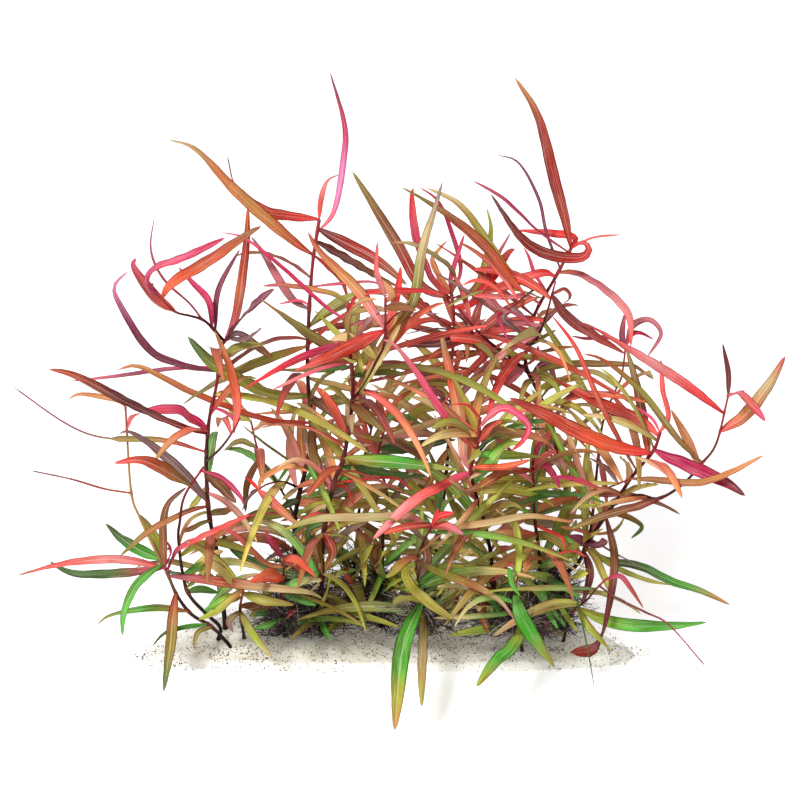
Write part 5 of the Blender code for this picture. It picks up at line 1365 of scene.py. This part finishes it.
# Shoot p
# A shoot that leans far to the right, with two branches. One of its leaves hangs down to the sand
# and ends in a rolled tip on a narrow neck.
grow("p", hidden=4, turn=11, stems="""
    84,0 -27 0 3: 90,31.6 98,40 104,53 109,60 119,74.5 128,88 139.5,102 143,112
    branch 44 10 2: 104,53 106.5,72 109,98 112,119 119,136 122,143 124,158
    branch -58 0 2: 117.5,72 131,77.5 142,75.5 155,83 165.5,94.5 174,106 180.5,132
""", leaves="""
    3.5 16 plum rose: 124,157 122,165 123.5,177.5
    2.5 -18 magenta: 124,158 127,165 132,166.5 139.5,163
    2.5 23 magenta: 124,158 115,164 103,163.5 94,165
    3 -29 rose: 124,158 128,170 137,173.8 143.5,166 136,153.5
    3 -36 rust scarlet: 130,90.5 123,103 109,130 97,158 83,177
    3.5 26 brown olive rust: 166.5,96 153,108 133,134 113,151 100,155.5
    5 -13 scarlet coral blush coral brick: 179,122 155,139.5 125,158 105,170 95,173
    2.8 10 maroon: 180.5,132 180.5,145 177.5,161
    6 -31 coral tan straw ember: 176.5,112 190,121.5 203,138 212,154
    5 -44 pink coral pink: 180.3,131 187,133 197,123 201,118
    4.5 21 tan: 164,93 158,108 149,124.5
    3.5 -13 coral: 143,111 147.5,121 144.5,135 143.5,152.5
    1.8 18 pink: 142.5,111 138,120 128,127
    7 -47 magenta magenta maroon: 139.5,102 148,98 163,91.5 180,84 190,77
    8 -26 scarlet peach ember brick: 138.5,101 120,103.5 100,111 80,121.5 60,131
    5.5 26 rust brown olive: 137,99.5 133.5,120 129.5,140 124.5,158
    6 36 coral brick ember brick: 142,110 133,118 112,127 83,142
    5.5 -21 brick brown olive: 143,76 130,71 112,66 94,59
    3 -16 brown fern: 114,68 125,65.5 133,60 127,53.5
    2 13 tan olive: 106,56.5 116,57 121,61 123.5,66
    3 -18 rust tan: 106,56.5 98,58 88,60
    3 -26 coral magenta: 121,77.5 112,80 97,86 82,88
    3.5 16 brick: 109,99 112,86 114,70
    4.5 -34 maroon brown maroon maroon brick pod: 112.5,65 117.8,45.6 117,28.8 114,12 110.8,0 105,-8 93.3,-9
    4.5 -18 maroon: 101,46 104.5,34 100.3,17.6
    4 -26 olive lime: 103,50 108,42 112,33 118,20
    4.5 13 olive fern green tan: 103.5,51 112,42 132,38 149,30 165,25 182,17
    3.5 26 lime: 103,49 118,38 135,31 149,28
    1 -18 mauve: 104,53 119,45 132,38.5
    4 -23 plum: 103.5,52 108,50 114.5,52
    4 -10 plum: 103.5,52 98,53 92,55
    1 -80 fern: 91,33 96.8,20 101,3 104,-12 107,-28.7
""")


# Shoot k
# The lowest shoot at the right. A long lime and green leaf reaches out past the sand, and a thin maroon
# one turns to a thread.
grow("k", stems="""
    89,-12 -51 0 1.8: 93,9 97,15 103,20 108,26 113,31
""", leaves="""
    6 -13 lime green green: 98,16 115,8 133,5.5 152,5.5 169,7.5
    1.2 -21 maroon magenta thread 0.45: 109,27 119,21 135,13 148,6 168.4,-17
    4 -39 lime: 98,15 103,6 109,-1 115.7,-8
    2.5 -13 magenta rust: 113,31 121,33 127,26 134,15
    4.5 18 fern: 96,14 90,18 85,24
""")


# Small inner leaves
# Between the long leaves the heart of the clump is full of shorter ones, green and olive near the sand
# and redder above. They grow from the stems, most of them where the view has gaps.
CELL = 0.004
CELLS_WIDE = 120
CELLS_HIGH = 100
CELLS_LEFT = -0.24
CELLS_LOW = -0.06
HEARTS = (
    ((0.023, 0.086), (0.089, 0.136), (1.9, 1.2)),
    ((-0.092, 0.148), (0.020, 0.034), (1.0, 1.0)),
    ((-0.094, 0.050), (0.029, 0.030), (1.0, 1.0)),
    ((0.124, 0.112), (0.024, 0.046), (0.7, 0.7)),
)
HEART_TOP = 0.2
HEART_FOOT = 0.03
HEART_EDGE = 1.05
HEART_FADE = 5
FOOT_COVER = 0.45
OUTSIDE_COVER = -0.5
BLADE_COVER = 0.7
LEAST_UP = -0.001
LEAST_OVER_SAND = 0.002
LEAST_STEM = 0.02
INNER_LEAVES = 400
INNER_SEED = 5
INNER_TRIES = 22
INNER_BASES = (0.08, 0.98)
INNER_RISES = (-12, 66)
INNER_DROOPS = (0.0, 0.62)
INNER_SWAYS = (-0.35, 0.35)
INNER_DEPTH = 0.75
INNER_LENGTHS = (0.036, 0.092)
INNER_WIDTHS = (0.0024, 0.0056)
INNER_RINGS = 16
INNER_SHARES = [at / INNER_RINGS for at in range(INNER_RINGS + 1)]
GAP_RANGE = (-1.2, 1)
INNER_FAR = 0.011
FAR_RINGS = (8, 12, 16)
FAR_COST = 900
INNER_COLOURS = (
    (0.045, "fern lime, green lime, olive lime, lime straw, lime olive, green straw"),
    (0.105, "olive lime, lime olive, olive lime, tan olive, rust straw, mauve olive, blush straw, "
            "green lime"),
    (0.155, "olive tan, olive straw, lime olive, tan straw, brick rust, coral tan, olive lime, "
            "ember olive"),
    (1.0, "olive tan, ember scarlet, scarlet tan, brick rust, rose mauve, coral rust, olive straw, "
          "brick ember"),
)


def cells_of(line):
    """The cells of the view that a line passes, as rows and columns."""
    shown = np.array([place_on_view(point) for point in line])
    columns = np.clip(((shown[:, 0] - CELLS_LEFT) / CELL).astype(int), 0, CELLS_WIDE - 1)
    rows = np.clip(((shown[:, 1] - CELLS_LOW) / CELL).astype(int), 0, CELLS_HIGH - 1)
    return rows, columns


def mark_cover(line, width):
    """Notes how much of each cell of the view a leaf covers."""
    rows, columns = cells_of(line)
    np.add.at(cover, (rows, columns), length_of(line) / len(line) * width * BLADE_COVER / CELL ** 2)


def wanted_cover():
    """How many layers of leaves each cell should have: most low in the heart, none outside."""
    across = CELLS_LEFT + (np.arange(CELLS_WIDE) + 0.5) * CELL
    up = CELLS_LOW + (np.arange(CELLS_HIGH) + 0.5) * CELL
    foot = FOOT_COVER + (1 - FOOT_COVER) * np.clip(up / HEART_FOOT, 0, 1)[:, None]
    layers = np.full((CELLS_HIGH, CELLS_WIDE), OUTSIDE_COVER)
    for middle, half, (low_cover, high_cover) in HEARTS:
        away = np.hypot((across - middle[0]) / half[0], (up[:, None] - middle[1]) / half[1])
        full = low_cover + (high_cover - low_cover) * np.clip(up / HEART_TOP, 0, 1)[:, None]
        inside = full * foot * np.clip((HEART_EDGE - away) * HEART_FADE, 0, 1)
        layers = np.maximum(layers, np.where(away < HEART_EDGE, inside, OUTSIDE_COVER))
    return layers


cover = np.zeros((CELLS_HIGH, CELLS_WIDE))
for line, width in leaf_lines:
    mark_cover(line, width)
wanted = wanted_cover()
clump_corners = []
clump_faces = []
for node, part in frame["nodes"].items():
    if node != "sand_bed":
        first = len(clump_corners)
        clump_faces += [tuple(first + corner for corner in face.vertices) for face in part.data.polygons]
        clump_corners += [tuple(corner.co) for corner in part.data.vertices]
clump_surface = BVHTree.FromPolygons(clump_corners, clump_faces)
inner = {name: Skin() for name in stem_lines}
inner_chance = np.random.default_rng(INNER_SEED)
stem_choice = [(name, line) for name, lines in stem_lines.items() for line in lines]
stem_choice = [(name, line) for name, line in stem_choice if length_of(line) > LEAST_STEM]
stem_weights = np.array([length_of(line) for name, line in stem_choice])
stem_weights /= stem_weights.sum()
for number in range(INNER_LEAVES):
    best = None
    for trial in range(INNER_TRIES):
        name, stem = stem_choice[inner_chance.choice(len(stem_choice), p=stem_weights)]
        base = stem[int(inner_chance.uniform(*INNER_BASES) * (len(stem) - 1))]
        turn = inner_chance.uniform(0, math.tau)
        rise = math.radians(inner_chance.uniform(*INNER_RISES))
        droop = inner_chance.uniform(*INNER_DROOPS)
        sway = inner_chance.uniform(*INNER_SWAYS)
        size = inner_chance.uniform(*INNER_LENGTHS)
        out = Vector((math.cos(turn), math.sin(turn) * INNER_DEPTH, 0)).normalized()
        beside = Vector((-out.y, out.x, 0))
        line = []
        for at in INNER_SHARES:
            up = Vector((0, 0, at * math.sin(rise) - at * at * droop))
            line.append(base + (out * (at * math.cos(rise)) + beside * (at * at * sway) + up) * size)
        if min(point.z for point in line) < SAND_TOP + LEAST_OVER_SAND:
            continue
        if min(place_on_view(point).y for point in line) < LEAST_UP:
            continue
        rows, columns = cells_of(line)
        gaps = np.clip(wanted[rows, columns] - cover[rows, columns], *GAP_RANGE).sum()
        far = sum(max(0, clump_surface.find_nearest(line[at])[3] - INNER_FAR) for at in FAR_RINGS)
        score = gaps - far * FAR_COST
        if best is None or score > best[0]:
            best = (score, name, line)
    score, name, line = best
    if score < 0:
        continue
    height = place_on_view(line[0]).y
    choice = next(colours for top, colours in INNER_COLOURS if height < top).split(", ")
    colours = choice[inner_chance.integers(len(choice))]
    width = inner_chance.uniform(*INNER_WIDTHS)
    mark_cover(line, width)
    leaf = Leaf(width / MM, 0, colours, None)
    add_leaf(inner[name], leaf, line, INNER_SHARES, inner_chance, INNER_SPREAD, True)
for name, skin in inner.items():
    if skin.corners:
        skin.make("inner_leaves_" + name, leaf_material, "stem", "shoot_" + name)


# Roots
# Fine roots grow from the lowest part of the stems and tangle over the sand. They are threads under a
# millimetre thick: most are nearly black with a purple cast, and the finer ones brown or pale.
ROOTS = 5600
ROOT_SEED = 23
ROOT_SIDES = 3
ROOT_STEPS = 8
ROOT_LENGTHS = (0.010, 0.030)
ROOT_RADIUS = (0.00010, 0.00030)
ROOT_TOP = 0.034
ROOT_LEFT = -0.07
ROOT_RIGHT = 0.088
ROOT_FRONT = 0.002
ROOT_STARTS = 1.1
ROOT_DEPTH = 0.7
ROOT_RISES = (-0.3, 1.1)
ROOT_BENDS = (-0.35, 0.35)
ROOT_SHAKES = (-0.10, 0.10)
ROOT_WANDERS = (-0.16, 0.16)
ROOT_DROP = 0.05
ROOT_BACK = 0.3
ROOT_UP = 0.2
ROOT_BENDING = 0.9
ROOT_LOWEST = SAND_TOP + 0.0002
ROOT_HEAP = 0.0008
ROOT_TAPER = 0.6
ROOT_SHADES = (0.7, 1.3)
ROOT_STAIN = (0.02, 0.01, 0.012, 1)
ROOT_FINE_WAVES = 1200
ROOT_KINDS = (
    (0.56, np.array((0.030, 0.012, 0.018)), 1.5),
    (0.72, np.array((0.10, 0.05, 0.035)), 1),
    (1, np.array((0.64, 0.54, 0.53)), 1),
)
root_skins = {"left": Skin(), "right": Skin()}
root_chance = np.random.default_rng(ROOT_SEED)
low_stems = []
for lines in stem_lines.values():
    low = [point for point in lines[0] if point.z < ROOT_TOP and place_on_view(point).y > ROOT_FRONT]
    if low and ROOT_LEFT < low[0].x < ROOT_RIGHT:
        low_stems.append(low)
for number in range(ROOTS):
    low = low_stems[root_chance.integers(len(low_stems))]
    point = low[int(len(low) * root_chance.random() ** ROOT_STARTS)].copy()
    turn = root_chance.uniform(0, math.tau)
    heading = Vector((math.cos(turn), math.sin(turn) * ROOT_DEPTH, root_chance.uniform(*ROOT_RISES)))
    length = root_chance.uniform(*ROOT_LENGTHS)
    radius = root_chance.uniform(*ROOT_RADIUS)
    bend = Vector(root_chance.uniform(*ROOT_BENDS, 3))
    points = []
    for step in range(ROOT_STEPS + 1):
        points.append(point.copy())
        if place_on_view(point).y < ROOT_FRONT:
            heading.y = abs(heading.y) + ROOT_BACK
            heading.z += ROOT_UP
        heading += bend * ROOT_BENDING + Vector(root_chance.uniform(*ROOT_SHAKES, 3))
        bend += Vector(root_chance.uniform(*ROOT_WANDERS, 3))
        heading.z -= ROOT_DROP
        heading.normalize()
        point += heading * (length / ROOT_STEPS)
        if point.z < ROOT_LOWEST:
            point.z = ROOT_LOWEST + root_chance.uniform(0, ROOT_HEAP)
    kind = root_chance.random()
    tone, thicker = next((tone, thicker) for share, tone, thicker in ROOT_KINDS if kind < share)
    radius *= thicker
    tone = tone * root_chance.uniform(*ROOT_SHADES)
    corners = []
    for at, spot in enumerate(points):
        along = (points[min(at + 1, ROOT_STEPS)] - points[max(at - 1, 0)]).normalized()
        side = along.orthogonal().normalized()
        other = along.cross(side)
        thin = radius * (1 - ROOT_TAPER * at / ROOT_STEPS)
        for corner in range(ROOT_SIDES):
            angle = corner * math.tau / ROOT_SIDES
            corners.append(spot + (side * math.cos(angle) + other * math.sin(angle)) * thin)
    root_skins["left" if points[0].x < 0 else "right"].add(
        [tuple(corner) for corner in corners], loft_faces(len(points), ROOT_SIDES),
        tone=np.tile(tone, (len(corners), 1)),
    )
root_material, root_shader, root_wire = new_material("root")
root_fine = root_wire.noise(ROOT_FINE_WAVES)
root_tone = root_wire.attribute("tone", "Color")
feed(root_shader, "Base Color", root_tone.under((root_fine * 0.5, ROOT_STAIN)))
feed(root_shader, "Roughness", 0.5 + root_fine * 0.3)
for side_name, root_skin in root_skins.items():
    root_skin.make("root_tangle_" + side_name, root_material, "stem")
